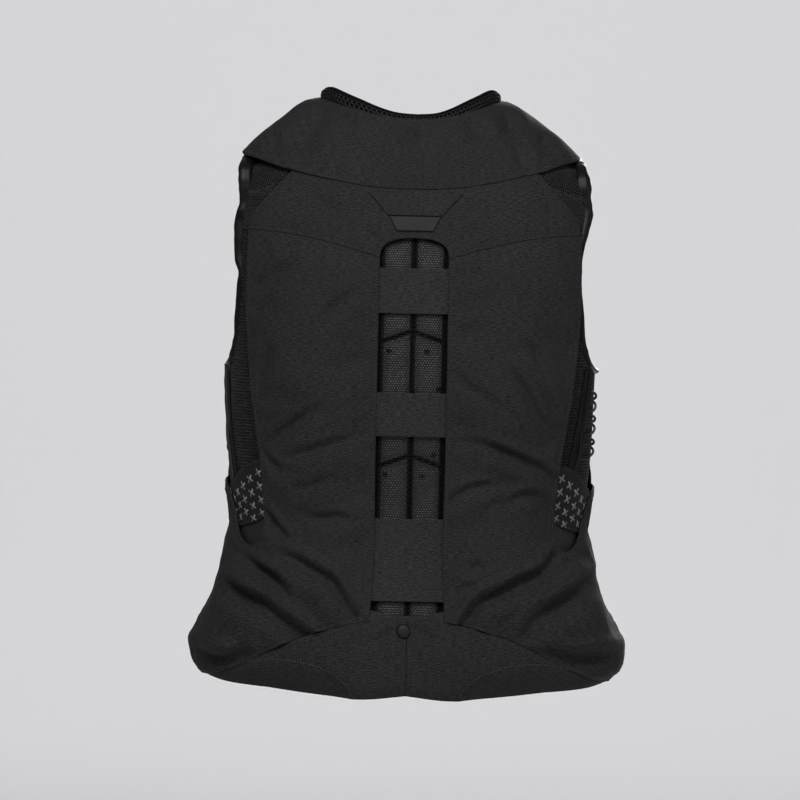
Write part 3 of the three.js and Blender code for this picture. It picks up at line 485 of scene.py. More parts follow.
# Camera, in millimetres, and its light and stage, in metres
PIXEL = 0.93  # millimetres of the vest for a pixel of the picture
PICTURE = 800
DISTANCE = 10000
AIM = Vector((-10.7, -100, -223)) * MM
ELEVATION = 1.5
ROLL = 1.2
SENSOR = 36
CLIP = 100
FLOOR = -1.25
BOWL = ((0, 0), (4, 0), (10, 0), (13, 0.2), (15, 1.0), (16.4, 2.8), (17, 5.5), (17, 11))
BOWL_RINGS, BOWL_SIDES, BOWL_MIDDLE = 48, 96, 0.001
VEST = (0, 0, -0.22)
WALL = (0, 17, 0)
Light = namedtuple("Light", "name place aim size power")
LIGHTS = (
    Light("key", (-0.3, -1.85, 1.3), VEST, 1.1, 102),
    Light("fill", (1.7, -2.4, 0.1), VEST, 1.4, 24),
    Light("left side", (-3.4, -1.6, 0.2), VEST, 1.6, 9),
    Light("right side", (3.4, -1.6, 0.2), VEST, 1.6, 25),
    Light("front", (0.8, 4.2, 1.0), VEST, 2.0, 170),
    Light("wall", (0, 10, 5), WALL, 3.0, 225),
)
SKY = (0.985, 0.985, 1.0, 1)
SKY_STRENGTH = 0.36


# Curves

def mix(start, end, share):
    return start + (end - start) * share


def ease(share):
    return np.sin(np.pi / 2 * np.clip(share, 0, 1))


def smooth(share):
    t = np.clip(share, 0, 1)
    return t * t * (3 - 2 * t)


def unit(vectors):
    return vectors / np.maximum(np.linalg.norm(vectors, axis=-1, keepdims=True), 1e-9)


def along(rows, key, column, at):
    """Smooth curve through a column of a table. It never leaves the range of the rows beside it."""
    x, y = rows[key], rows[column]
    secant = np.diff(y) / np.diff(x)
    slope = np.concatenate([secant[:1], np.zeros(len(x) - 2), secant[-1:]])
    product = secant[:-1] * secant[1:]
    total = secant[:-1] + secant[1:]
    slope[1:-1] = np.where(product > 0, 2 * product / np.where(total == 0, 1, total), 0)
    at = np.clip(at, x[0], x[-1])
    k = np.clip(np.searchsorted(x, at, side="right") - 1, 0, len(x) - 2)
    span = x[k + 1] - x[k]
    t = (at - x[k]) / span
    p, q = y[k], y[k + 1]
    m, n = slope[k] * span, slope[k + 1] * span
    return p + t * (m + t * (3 * (q - p) - 2 * m - n + t * (2 * (p - q) + m + n)))


def spline(points, count, closed=False):
    """Evenly spaced points of a smooth curve through the given ones."""
    points = np.array(points, float)
    if closed:
        ends = np.vstack([points[-1:], points, points[:2]])
    else:
        ends = np.vstack([2 * points[:1] - points[1:2], points, 2 * points[-1:] - points[-2:-1]])
    t = np.linspace(0, 1, SPLINE_STEPS, endpoint=False)[:, None]
    dense = []
    for a, b, c, d in zip(ends, ends[1:], ends[2:], ends[3:]):
        square = 2 * a - 5 * b + 4 * c - d
        cube = 3 * b - a - 3 * c + d
        dense.append((2 * b + t * (c - a) + t ** 2 * square + t ** 3 * cube) / 2)
    dense = np.vstack(dense + [ends[-2][None]])
    return resample(dense, count + 1)[:-1] if closed else resample(dense, count)


def reach_along(points):
    """Distance of each point of a path from its start, along the path."""
    return np.concatenate([[0], np.cumsum(np.linalg.norm(np.diff(points, axis=0), axis=1))])


def pick(values, reach, at):
    """Rows of values between those at the given reaches."""
    return np.column_stack([np.interp(at, reach, column) for column in values.T])


def resample(points, count):
    reach = reach_along(points)
    return pick(points, reach, np.linspace(0, reach[-1], count))


def stops(length, step=STEP):
    """Shares of a length at about this step, closer together at both ends."""
    inside = np.linspace(0, 1, max(2, round(length / step)) + 1)
    close = np.array(EDGE_STOPS) / length
    clear = close[-1] * EDGE_CLEAR
    inside = inside[(inside > clear) & (inside < 1 - clear)]
    return np.concatenate([[0], close, inside, 1 - close[::-1], [1]])


def line(start, end, count=SHORT_ROW):
    return np.linspace(start, end, count)


def turns(sides):
    return np.linspace(0, 2 * np.pi, sides, endpoint=False)


def bell(distance, width):
    return np.exp(-((distance / width) ** 2))


def arrays(*values):
    """Arrays of the same shape."""
    return [np.array(value, float) for value in np.broadcast_arrays(*values)]


def ripple(points, size, seed):
    """Smooth noise from -1 to 1 with bumps of about this size, which may differ by axis."""
    scaled = points / np.array(size) + seed
    return np.array([noise.noise(p) for p in scaled.tolist()])


# The body's surface

def ring(half, back, front, angle):
    turn = np.radians(angle)
    s, c = np.sin(turn), np.cos(turn)
    depth = np.where(c > 0, back, front)
    radius = (np.abs(s / half) ** SQUARENESS + np.abs(c / depth) ** SQUARENESS) ** (-1 / SQUARENESS)
    return radius * s, -radius * c


def section_point(angle, z):
    x, y = ring(*(along(SECTIONS, "z", column, z) for column in ("half", "back", "front")), angle)
    return np.stack(np.broadcast_arrays(x, y, z), -1)


def body_normal(angle, z):
    step = 0.5
    across = section_point(angle + step, z) - section_point(angle - step, z)
    up = section_point(angle, z + step) - section_point(angle, z - step)
    return unit(np.cross(across, up))


def on_body(angle, z, lift):
    angle, z, lift = arrays(angle, z, lift)
    return section_point(angle, z) + body_normal(angle, z) * lift[..., None]


def seen(x, z):
    """Place whose point on the shell's edge level is seen at this x and z from behind."""
    x, z = arrays(x, z)
    angle = np.degrees(np.arctan2(x, along(SECTIONS, "z", "back", z)))
    height = z.copy()
    for _ in range(SEARCH_STEPS):
        here = on_body(angle, height, EDGE_LIFT)
        beside = on_body(angle + 1, height, EDGE_LIFT)
        angle = angle + (x - here[..., 0]) / (beside[..., 0] - here[..., 0])
        height = height + z - here[..., 2]
    return angle, height


def seen_place(x, z):
    """The same, as a pair of numbers."""
    return tuple(float(value) for value in seen(x, z))


# Arc length round the body, for flat patterns and cloth coordinates
ARC_ANGLES = np.arange(0, 181.0)
ARC_HEIGHTS = np.arange(-520, 21, 10.0)
ARC = np.array([reach_along(section_point(ARC_ANGLES, height)) for height in ARC_HEIGHTS])
MIDDLE_ARC = ARC[len(ARC) // 2]


def arc_of(angle):
    """Distance round the body's middle section, with the angle's sign."""
    return np.sign(angle) * np.interp(np.abs(angle), ARC_ANGLES, MIDDLE_ARC)


def angle_at(arc, z):
    """Angle at a distance round the body from the middle of the back, at a height."""
    row = np.clip((z - ARC_HEIGHTS[0]) / (ARC_HEIGHTS[1] - ARC_HEIGHTS[0]), 0, len(ARC) - 1.001)
    low = row.astype(int)
    found = np.empty_like(arc)
    for k in np.unique(low):
        rows = low == k
        below = np.interp(arc[rows], ARC[k], ARC_ANGLES)
        above = np.interp(arc[rows], ARC[k + 1], ARC_ANGLES)
        found[rows] = mix(below, above, row[rows] - k)
    return found


# Meshes

def lattice(patches, sign=1):
    """Places and quads of joined patches of the right side, or of their mirror image.

    A patch is its stops across and up, and the function that gives its places."""
    places, quads, start = [], [], 0
    for across, up, place in patches:
        u, v = np.meshgrid(across, up)
        a, b = place(u.ravel(), v.ravel())
        places.append(np.column_stack([a, b]))
        index = start + np.arange(u.size).reshape(u.shape)
        corners = [index[:-1, :-1], index[:-1, 1:], index[1:, 1:], index[1:, :-1]]
        quads.append(np.stack(corners, -1).reshape(-1, 4))
        start += u.size
    places = np.vstack(places)
    quads = np.vstack(quads)
    _, first, number = np.unique(np.round(places, 3), axis=0, return_index=True, return_inverse=True)
    places, quads = places[first], number.ravel()[quads]
    if sign < 0:
        places[:, 0] *= -1
        quads = quads[:, ::-1]
    return places, quads


def patch(piece, place, sign=1):
    """Lattice of a piece that is one patch."""
    size = GRIDS[piece]
    return lattice([(stops(size.wide, size.step), stops(size.tall, size.rise), place)], sign)


def rim_edges(faces):
    """Edges that only one face has, each in that face's direction."""
    sides = faces.shape[1]
    edges = np.vstack([faces[:, [k, (k + 1) % sides]] for k in range(sides)])
    _, first, count = np.unique(np.sort(edges, 1), axis=0, return_index=True, return_counts=True)
    return edges[first[count == 1]]


def tree_of(points):
    tree = KDTree(len(points))
    for k, point in enumerate(points.tolist()):
        tree.insert(point, k)
    tree.balance()
    return tree


def edge_distance(points, quads):
    """Distance of each point from the rim of its quads."""
    samples = []
    for p, q in points[rim_edges(quads)]:
        count = max(2, int(np.linalg.norm(q - p) / EDGE_STOPS[0]))
        samples.append(p + (q - p) * np.linspace(0, 1, count)[:, None])
    tree = tree_of(np.vstack(samples))
    return np.array([tree.find(point)[2] for point in points.tolist()])


def rounded(distance, radius):
    """Drop of a rolled edge at a distance from it."""
    share = 1 - np.clip(distance / radius, 0, 1)
    return radius * (1 - np.sqrt(1 - share ** 2))


def make(name, points, faces, uv, material, slot, node=None):
    """Object of the vest from points in millimetres, with cloth coordinates in metres."""
    mesh = bpy.data.meshes.new(name)
    mesh.from_pydata((np.asarray(points) * MM).tolist(), [], [list(face) for face in faces])
    mesh.polygons.foreach_set("use_smooth", np.ones(len(mesh.polygons), bool))
    corner = np.empty(len(mesh.loops), int)
    mesh.loops.foreach_get("vertex_index", corner)
    layer = mesh.uv_layers.new(name="cloth")
    layer.data.foreach_set("uv", (np.asarray(uv)[corner] * MM).astype(np.float32).ravel())
    mesh.update()
    made = bpy.data.objects.new(name, mesh)
    bpy.context.scene.collection.objects.link(made)
    mesh.materials.append(material)
    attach(made, "root")
    if node:
        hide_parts(node)
    return made


def wall(name, outer, inner, quads, uv, material, slot, node=None):
    """Closed wall between an outer and an inner face."""
    count = len(outer)
    edges = rim_edges(quads)
    rims = np.column_stack([edges[:, 1], edges[:, 0], edges[:, 0] + count, edges[:, 1] + count])
    faces = np.vstack([quads, quads[:, ::-1] + count, rims])
    return make(name, np.vstack([outer, inner]), faces.tolist(), np.vstack([uv, uv]), material, slot, node)


Skin = namedtuple("Skin", "outer quads")
SKINS = {}


def simulate(points, quads, pinned):
    """Points of a sheet, pinned at some of them, after a cloth simulation that puffs it a little."""
    scene = bpy.context.scene
    mesh = bpy.data.meshes.new("settling")
    mesh.from_pydata((points * MM).tolist(), [], quads.tolist())
    sheet = bpy.data.objects.new("settling", mesh)
    scene.collection.objects.link(sheet)
    pins = sheet.vertex_groups.new(name="pins")
    pins.add(np.flatnonzero(pinned).tolist(), 1.0, "REPLACE")
    cloth = sheet.modifiers.new("cloth", "CLOTH")
    cloth.settings.vertex_group_mass = "pins"
    cloth.settings.use_pressure = True
    cloth.settings.uniform_pressure_force = SETTLE["pressure"]
    cloth.settings.shrink_min = -SETTLE["growth"]
    cloth.settings.effector_weights.gravity = 0
    cloth.point_cache.frame_end = SETTLE["frames"]
    for number in range(1, SETTLE["frames"] + 1):
        scene.frame_set(number)
    settled = sheet.evaluated_get(bpy.context.evaluated_depsgraph_get())
    moved = np.array([vertex.co for vertex in settled.data.vertices]) / MM
    scene.frame_set(1)
    bpy.data.objects.remove(sheet)
    return moved


def settle(coarse, surface, relief, base):
    """How far a simulated coarse copy of a panel moves out, at each base point of the fine one."""
    places, quads = coarse
    coarse_base = surface(*places.T, 0.0)
    distance = edge_distance(coarse_base, quads)
    rise = relief(coarse_base, places, distance)
    start = surface(*places.T, rise)
    out = unit(surface(*places.T, rise + 1.0) - start)
    moved = simulate(start, quads, distance < SETTLE["pinned"])
    push = np.clip(np.sum((moved - start) * out, 1), -SETTLE["cap"], SETTLE["cap"])
    push = push * smooth(distance / SETTLE["edge"])
    tree = tree_of(coarse_base)
    fine = []
    for point in base.tolist():
        found = tree.find_n(point, SETTLE["near"])
        weights = np.exp([-((far / SETTLE["spread"]) ** 2) for _, _, far in found])
        fine.append(np.dot(weights, push[[k for _, k, _ in found]]) / weights.sum())
    return np.array(fine)


def skin(
    node, lattice_made, surface, thickness, material, slot, relief=None, uv=None, round_off=ROUND_OFF,
    name=None, coarse=None,
):
    """Wall of cloth on a surface, which maps a place and a lift to a point. Its edges are rolled."""
    name = name or f"{node}_cloth"
    places, quads = lattice_made
    base = surface(places[:, 0], places[:, 1], 0.0)
    distance = edge_distance(base, quads)
    rise = relief(base, places, distance) if relief else np.zeros(len(base))
    if coarse:
        rise = rise + settle(coarse, surface, relief, base)
    drop = rounded(distance, thickness * round_off)
    outer = surface(places[:, 0], places[:, 1], rise - drop)
    inner = surface(places[:, 0], places[:, 1], rise - thickness)
    if uv is None:
        uv = np.column_stack([arc_of(places[:, 0]), places[:, 1]])
    SKINS[name] = Skin(outer, quads)
    return wall(name, outer, inner, quads, uv, material, slot, node)


def body_surface(lift):
    """Surface at a lift, which is a number or a function of the place."""
    level = lift if callable(lift) else lambda angle, z: lift
    return lambda angle, z, more: on_body(angle, z, level(angle, z) + more)


# Folds and small relief

def fold_relief(folds, points, fade=1.0, seam_fade=1.0):
    """Rise and fall of the cloth beside its folds, seen from behind. The cloth above a fold stands over
    it. The fades are shares of the depth, the second for folds that run into a seam."""
    x, z = points[:, 0], points[:, 2]
    form = FOLD_FORM
    total = np.zeros(len(x))
    for number, fold in enumerate(folds):
        path = spline(fold.path, form["points"])
        reach = np.full(len(x), np.inf)
        share = np.zeros(len(x))
        above = np.zeros(len(x))
        for k, (p, q) in enumerate(zip(path, path[1:])):
            dx, dz = q - p
            length = math.hypot(dx, dz)
            t = np.clip(((x - p[0]) * dx + (z - p[1]) * dz) / length ** 2, 0, 1)
            ox, oz = x - p[0] - t * dx, z - p[1] - t * dz
            far = np.hypot(ox, oz)
            near = far < reach
            reach[near] = far[near]
            share[near] = ((k + t) / (len(path) - 1))[near]
            upward = 1 if dx > 0 else -1
            above[near] = (upward * (oz * dx - ox * dz) / length)[near]
        start = mix(smooth(share / form["fade"]), 1, fold.start)
        end = mix(smooth((1 - share) / form["fade"]), 1, fold.end)
        side = above / np.maximum(reach, 1e-6)
        width = fold.width * mix(form["low_side"], 1.0, (1 + side) / 2)
        valley = np.exp(-((reach / width) ** form["sharpness"]))
        crest = bell(reach - form["crest"] * width, form["crest_width"] * width)
        uneven = 1 + form["uneven"] * np.sin(form["waves"] * share + form["shift"] * number)
        shown = seam_fade if fold.end == 1 else fade
        total += fold.depth * uneven * start * end * shown * (fold.ridge * crest - valley)
    return total


def seam_relief(points, distance, seed):
    """Stitch channel beside an edge, and the puckers that the sewing leaves."""
    channel = -SEAM["depth"] * bell(distance - STITCH["inset"], SEAM["width"])
    pucker = ripple(points, SEAM["size"], seed) * bell(distance - SEAM["at"], SEAM["run"])
    return channel + SEAM["pucker"] * pucker


def cloth_ripples(points, seed):
    """Low waves of slack cloth."""
    return sum(height * ripple(points, size, seed + shift) for height, size, shift in WAVES)


def slack(piece, points, distance, folds=0.0, shift=0.0):
    """Relief of a slack piece of cloth."""
    size = SLACK[piece]
    waves = size.waves * cloth_ripples(points, size.seed + shift)
    relief = (folds + waves + size.rise) * smooth(distance / size.run)
    if size.pucker_seed is None:
        return relief
    return relief + seam_relief(points, distance, size.pucker_seed)


def crumpled(size, sign=1):
    """Relief of a crumpled small piece."""
    def relief(points, places, distance):
        bumps = size.height * ripple(points, size.size, sign * size.seed)
        return size.rise + bumps * smooth(distance / size.run)
    return relief


# Places of the back shell

def window_half(z):
    return along(WINDOW, "z", "half", z)


def back_edge(z):
    return along(BACK_EDGE, "z", "x", z)


def hem_seam(angle):
    return along(HEM_SEAM, "angle", "z", angle)


def hem_edge(angle):
    return along(HEM_EDGE, "angle", "z", angle)


NOTCH_ANGLE, NOTCH_HEIGHT = seen_place(back_edge(NOTCH_Z), NOTCH_Z)
HEM_END = mix(NOTCH_ANGLE, SIDE_SEAM, HEM_SHARE)


def yoke_seam(x):
    share = (np.abs(x) - YOKE_SEAM["inner_x"]) / (YOKE_SEAM["outer_x"] - YOKE_SEAM["inner_x"])
    return mix(YOKE_SEAM["inner_z"], YOKE_SEAM["outer_z"], ease(share))


def notch_far_edge(angle):
    share = (angle - NOTCH_ANGLE) / (SIDE_SEAM - NOTCH_ANGLE)
    return NOTCH_HEIGHT + along(NOTCH_FAR_EDGE, "share", "rise", share)


def panel_crown(angle, height):
    """How far the panel stands out from its edges' level, the share of the crown there, that share if
    the hem's seam is left out, and how far the lower edge turns in."""
    turn = np.abs(angle)
    point = on_body(angle, height, EDGE_LIFT)
    side, z = np.abs(point[:, 0]), point[:, 2]
    beside = np.hypot(back_edge(z) - side, np.maximum(0, NOTCH_Z - z))
    outer = np.where(turn > NOTCH_ANGLE, notch_far_edge(turn) - z, beside)
    above = height - hem_seam(turn)
    inward = np.ones(len(turn))
    for distance in (side - window_half(z), yoke_seam(side) - z, outer, (SIDE_SEAM - turn) * MM_PER_DEGREE):
        inward = inward * ease(distance / CROWN_RUN)
    share = inward * ease(above / CROWN_RUN)
    beyond = np.clip((turn - HEM_END) / HEM_ROLL["run"], 0, 1)
    roll = HEM_ROLL["depth"] * beyond * (1 - ease(above / HEM_ROLL["height"]))
    ebb = 1 - CROWN_EBB["share"] * smooth((turn - CROWN_EBB["from"]) / CROWN_EBB["run"])
    return along(CROWN, "z", "crown", z) * share * ebb, share, inward, roll


def above_place(u, v):
    seam = yoke_seam(mix(YOKE_SEAM["inner_x"], YOKE_SEAM["outer_x"], u))
    z = mix(NOTCH_Z, seam, v)
    return seen(mix(window_half(z), back_edge(z), u), z)


def below_place(u, v):
    angle, z = above_place(u, np.zeros_like(u))
    return angle, mix(hem_seam(angle), z, v)


def skirt_place(u, v):
    angle = mix(NOTCH_ANGLE, SIDE_SEAM, u)
    return angle, mix(hem_seam(angle), notch_far_edge(angle), v)


def yoke_top(x):
    side = np.abs(x)
    top = YOKE_TOP
    level = mix(top["middle"], top["corner_z"], (side / top["corner_x"]) ** 2)
    run = (side - top["corner_x"]) / (top["shoulder_x"] - top["corner_x"])
    cut = mix(top["corner_z"], top["shoulder_z"], run)
    last = (side - top["shoulder_x"]) / (YOKE_SEAM["outer_x"] - top["shoulder_x"])
    end = mix(top["shoulder_z"], YOKE_SEAM["outer_z"] + GAP, last)
    return np.where(side <= top["corner_x"], level, np.where(side <= top["shoulder_x"], cut, end))


def yoke_bottom(x):
    share = np.clip(np.abs(x) / window_half(WINDOW_SHOULDER), 0, 1)
    arch = (WINDOW_TOP - WINDOW_SHOULDER) * (1 - share ** ARCH_POWER) ** (1 / ARCH_POWER)
    return np.where(share < 1, WINDOW_SHOULDER + arch, yoke_seam(x))


def hem_turn(x):
    """Height of the arc at which the hem turns in; none near the middle."""
    side = np.abs(x)
    return np.where(side < HEM_TURN["x"][0], NO_TURN, along(HEM_TURN, "x", "z", side))


# Back shell

def back_panel(side, material):
    def panel_lattice(step):
        across, low = stops(PANEL["wide"], step), stops(PANEL["below"], step)
        patches = [
            (across, stops(PANEL["above"], step), above_place),
            (across, low, below_place),
            (stops(PANEL["skirt"], step), low, skirt_place),
        ]
        return lattice(patches, side.sign)

    def lift(angle, z):
        return EDGE_LIFT - panel_crown(angle, z)[-1]

    def relief(points, places, distance):
        size = PANEL_SLACK
        crown, share, inward, _ = panel_crown(*places.T)
        fade, seam_fade = ease(size["folds"] * share), ease(size["seam_folds"] * inward)
        folds = fold_relief(FOLDS, points, fade, seam_fade)
        loose = 1 + size["more"] * smooth((NOTCH_Z - points[:, 2]) / size["run"])
        rise = crown + folds + cloth_ripples(points, side.sign * size["seed"]) * loose * fade
        low = PANEL_LOW + np.log1p(np.exp(np.clip(rise - PANEL_LOW, -20, 20)))
        level = np.where(distance < size["rim"], rise, low)
        return level + seam_relief(points, distance, size["pucker_seed"])

    return skin(
        f"back_panel_{side.name}", panel_lattice(PANEL["step"]), body_surface(lift), CLOTH, material,
        "shell_cloth", relief, coarse=panel_lattice(PANEL["coarse"]),
    )


def hem_lift(angle, z):
    turn = np.abs(angle)
    above = z - hem_edge(turn)
    x = on_body(angle, z, EDGE_LIFT)[:, 0]
    turned = np.maximum(0, np.minimum(hem_turn(x), hem_seam(turn) - HEM_TURN_CLEAR) - z)
    soft = np.hypot(turned, HEM_TURN_RADIUS) - HEM_TURN_RADIUS
    return EDGE_LIFT - HEM_ROLL["front"] * (1 - ease(above / HEM_ROLL["height"])) - HEM_TURN_SLOPE * soft


def hem_panel(side, material):
    def place(u, v):
        angle = mix(0, HEM_END, u)
        return angle, mix(hem_edge(angle), hem_seam(angle), v)

    def relief(points, places, distance):
        folds = fold_relief(HEM_FOLDS, points) * smooth(distance / HEM_FOLD_RUN)
        return slack("hem_panel", points, distance, shift=side.sign) + folds

    made = patch("hem_panel", place, side.sign)
    surface = body_surface(hem_lift)
    return skin(f"hem_panel_{side.name}", made, surface, CLOTH, material, "shell_cloth", relief)


def back_yoke(material):
    arch = YOKE_SEAM["inner_x"] * (1 - (1 - np.linspace(0, 1, YOKE["arch_stops"])) ** 2)
    panel = mix(YOKE_SEAM["inner_x"], YOKE_SEAM["outer_x"] - GAP, stops(YOKE["wide"]))
    right = np.concatenate([arch[1:], panel[1:]])
    across = np.concatenate([-right[::-1], [0], right])

    def place(x, v):
        return seen(x, mix(yoke_bottom(x), yoke_top(x), v))

    def relief(points, places, distance):
        return slack("back_yoke", points, distance, fold_relief(YOKE_FOLDS, points))

    made = lattice([(across, stops(YOKE["tall"], YOKE["rise"]), place)])
    return skin("back_yoke", made, body_surface(EDGE_LIFT), CLOTH, material, "shell_cloth", relief)


def spine_strip(node, top, bottom, material, scoop=0.0):
    def place(u, v):
        share = 2 * u - 1
        z = mix(bottom, top - scoop * (1 - share ** 2), v)
        return seen(share * (window_half(z) + BAND_TUCK), z)

    def relief(points, places, distance):
        hem = BAND_HEM["height"] * smooth((BAND_HEM["width"] - distance) / BAND_HEM["run"])
        return slack("spine_band", points, distance, fold_relief(BAND_FOLDS, points)) + hem

    made = lattice([(stops(BAND_WIDTH), stops(top - bottom), place)])
    return skin(node, made, body_surface(BAND_LIFT), WEBBING, material, "shell_cloth", relief)


def yoke_trapezium(node, size, material, slot):
    def place(u, v):
        half = mix(size["bottom_half"], size["top_half"], v)
        return seen((2 * u - 1) * half, mix(size["bottom"], size["top"], v))

    across = stops(2 * size["top_half"], TRIM_STEP)
    made = lattice([(across, stops(size["top"] - size["bottom"], TRIM_STEP), place)])
    return skin(node, made, body_surface(TRIM_LIFT), WEBBING, material, slot, crumpled(TRIM_CRUMPLE))


# Turned pieces and sweeps

def tube_faces(rows, sides, closed=False, caps=True):
    """Quads between rings of points, with a cap at each end of an open tube."""
    index = np.arange(rows * sides).reshape(rows, sides)
    if closed:
        index = np.vstack([index, index[:1]])
    beside = np.roll(index, -1, 1)
    faces = np.stack([index[:-1], beside[:-1], beside[1:], index[1:]], -1).reshape(-1, 4).tolist()
    if caps and not closed:
        faces += [index[0][::-1].tolist(), index[-1].tolist()]
    return faces


def lathe(profile, sides):
    """Points and faces of a profile of (radius, height) turned round +Z."""
    circle = np.column_stack([np.cos(turns(sides)), np.sin(turns(sides))])
    rings = [np.column_stack([radius * circle, np.full(sides, height)]) for radius, height in profile]
    return np.vstack(rings), tube_faces(len(profile), sides)


def prism(profile, sides):
    """Points and faces of a form round its first axis: rows of (along, radius, rise)."""
    circle = np.column_stack([np.zeros(sides), np.cos(turns(sides)), np.sin(turns(sides))])
    rings = [radius * circle + (at, 0, rise) for at, radius, rise in profile]
    return np.vstack(rings), tube_faces(len(profile), sides)


def stand_on(points, place, lift):
    """Points modelled round +Z, set on the body at a place."""
    foot = on_body(*place, lift)
    out = Vector(body_normal(*place).tolist())
    turn = np.array(out.to_track_quat("Z", "Y").to_matrix())
    return points @ turn.T + foot


def hem_snap(material):
    profile = [(SNAP["radius"] * radius, SNAP["height"] * height) for radius, height in SNAP_PROFILE]
    cap, faces = lathe(profile, SNAP_SIDES)
    points = stand_on(cap, seen_place(SNAP["x"], SNAP["z"]), EDGE_LIFT + LAYER_GAP)
    return make("hem_snap_cap", points, faces, cap[:, :2], material, "snap_plastic", "hem_snap")


def sweep(path, across, sections, closed):
    """Points, faces and cloth coordinates of sections, rows of (across, out), carried along a path."""
    ahead = np.roll(path, -1, 0) if closed else np.vstack([path[1:], 2 * path[-1:] - path[-2:-1]])
    behind = np.roll(path, 1, 0) if closed else np.vstack([2 * path[:1] - path[1:2], path[:-1]])
    tangent = unit(ahead - behind)
    flat = unit(across - tangent * np.sum(across * tangent, 1, keepdims=True))
    out = np.cross(tangent, flat)
    points = path[:, None] + flat[:, None] * sections[..., :1] + out[:, None] * sections[..., 1:]
    count, sides = sections.shape[:2]
    around = np.linspace(0, SWEEP_GIRTH, sides, endpoint=False)
    uv = np.stack(np.broadcast_arrays(around[None], reach_along(path)[:, None]), -1).reshape(-1, 2)
    return points.reshape(-1, 3), tube_faces(count, sides, closed), uv


def oval(count, sides, width, thickness, power=2.0):
    """The same oval section at each station."""
    c, s = np.cos(turns(sides)), np.sin(turns(sides))
    x = np.sign(c) * np.abs(c) ** (2 / power) * width / 2
    y = np.sign(s) * np.abs(s) ** (2 / power) * thickness / 2
    return np.repeat(np.stack([x, y], -1)[None], count, 0)


# Pierced net of the spacer mesh

def net(name, surface, box, weave, keep, material, node):
    """Closed net of six-sided cells with a hole through each, kept where the cells' centres pass. The
    surface maps flat coordinates and a lift to points."""
    low_p, high_p, low_q, high_q = box
    row_step = weave.pitch * math.sqrt(3) / 2
    columns = int((high_p - low_p) / weave.pitch) + 1
    rows = int((high_q - low_q) / row_step) + 1
    j, i = np.meshgrid(np.arange(rows), np.arange(columns), indexing="ij")
    p = (low_p + (i + 0.5 * (j % 2)) * weave.pitch).ravel()
    q = (low_q + j * row_step).ravel()
    centres = np.column_stack([p, q])[keep(p, q)]
    turn = np.radians(30 + 60 * np.arange(6))
    hexagon = np.column_stack([np.cos(turn), np.sin(turn)])
    cells = (centres[:, None] + hexagon * (weave.pitch / math.sqrt(3))).reshape(-1, 2)
    rim = (centres[:, None] + hexagon * weave.hole).reshape(-1, 2)
    _, first, number = np.unique(np.round(cells, 2), axis=0, return_index=True, return_inverse=True)
    strands = cells[first]
    points = np.vstack([
        surface(*strands.T, weave.strand), surface(*rim.T, weave.rim), surface(*strands.T, weave.back),
    ])
    corners = number.ravel().reshape(-1, 6)
    rims = len(strands) + np.arange(len(rim)).reshape(-1, 6)
    behind = len(strands) + len(rim)
    faces = []
    for outer, inner in ((corners, rims), (rims, corners + behind)):
        ring_quads = [outer, np.roll(outer, -1, 1), np.roll(inner, -1, 1), inner]
        faces.append(np.stack(ring_quads, -1).reshape(-1, 4))
    border = rim_edges(corners)[:, ::-1]
    faces.append(np.hstack([border, border[:, ::-1] + behind]))
    uv = np.vstack([strands, rim, strands])
    return make(name, points, np.vstack(faces).tolist(), uv, material, "spacer_mesh", node)


# Sewing

def join(meshes):
    """Points and faces of several meshes as one."""
    points, faces, start = [], [], 0
    for mesh_points, mesh_faces in meshes:
        points.append(mesh_points)
        faces += [[corner + start for corner in face] for face in mesh_faces]
        start += len(mesh_points)
    return np.vstack(points), faces


def tracer(*nodes, surface=on_body):
    """Casts places of a surface on to the outer faces of pieces: gives points and normals."""
    skins = [SKINS[f"{node}_cloth"] for node in nodes]
    points, quads = join([(made.outer, made.quads.tolist()) for made in skins])
    tree = BVHTree.FromPolygons(points.tolist(), quads)

    def trace(angle, z):
        start = surface(angle, z, CAST["from"])
        aims = unit(surface(angle, z, 0.0) - start)
        rays = zip(start.tolist(), aims.tolist())
        hits = [tree.ray_cast(*ray, CAST["reach"])[:2] for ray in rays]
        hits = [(hit, normal) for hit, normal in hits if hit is not None]
        return np.array([hit for hit, _ in hits]), np.array([normal for _, normal in hits])

    return trace


THREAD_SHAPE = prism(THREAD_PROFILE, STITCH["thread_sides"])
HOLE_SHAPE = lathe(HOLE_PROFILE, STITCH["hole_sides"])


def repeat(shape, centre, forward, out):
    """A template of points and faces at each centre."""
    points, faces = shape
    axes = np.stack([forward, unit(np.cross(out, forward)), out], 1)
    made = np.einsum("tk,nkx->ntx", points, axes) + centre[:, None]
    return join([(copy, faces) for copy in made])


def stitch_row(points, normals, pitch=STITCH["pitch"]):
    """Threads and needle holes of a row of stitches along a traced line. The holes are black discs of
    painted shade.
    """
    reach = reach_along(points)
    made = []
    for shape, shift in ((THREAD_SHAPE, 0.5), (HOLE_SHAPE, 0.0)):
        at = np.arange(pitch * shift, reach[-1], pitch)
        out = unit(pick(normals, reach, at))
        ahead = STITCH["ahead"]
        forward = unit(pick(points, reach, at + ahead) - pick(points, reach, at - ahead))
        made.append(repeat(shape, pick(points, reach, at), forward, out))
    return made


def sew(name, rows, material):
    """One object for the threads of rows of stitches, and one for their needle holes, which are black discs
    of painted shade.
    """
    threads, holes = zip(*rows)
    for suffix, meshes, finish in (("thread", threads, material), ("holes", holes, painted_hole_shade)):
        points, faces = join(meshes)
        make(f"{name}_{suffix}", points, faces, points[:, [0, 2]], finish, "shell_cloth")


# Liner, its net and the plates of the spine

def liner_edge(z):
    return along(LINER_EDGE, "z", "angle", z)


def armhole_edge(sign, z):
    """Angle of the liner's edge behind the arm, on a side."""
    return liner_edge(z) + along(ARMHOLE_RUN[sign], "z", "shift", z)


def liner_spare(z):
    return LINER_SPARE + LINER_CORNER["angle"] * bell(z - LINER_CORNER["z"], LINER_CORNER["run"])


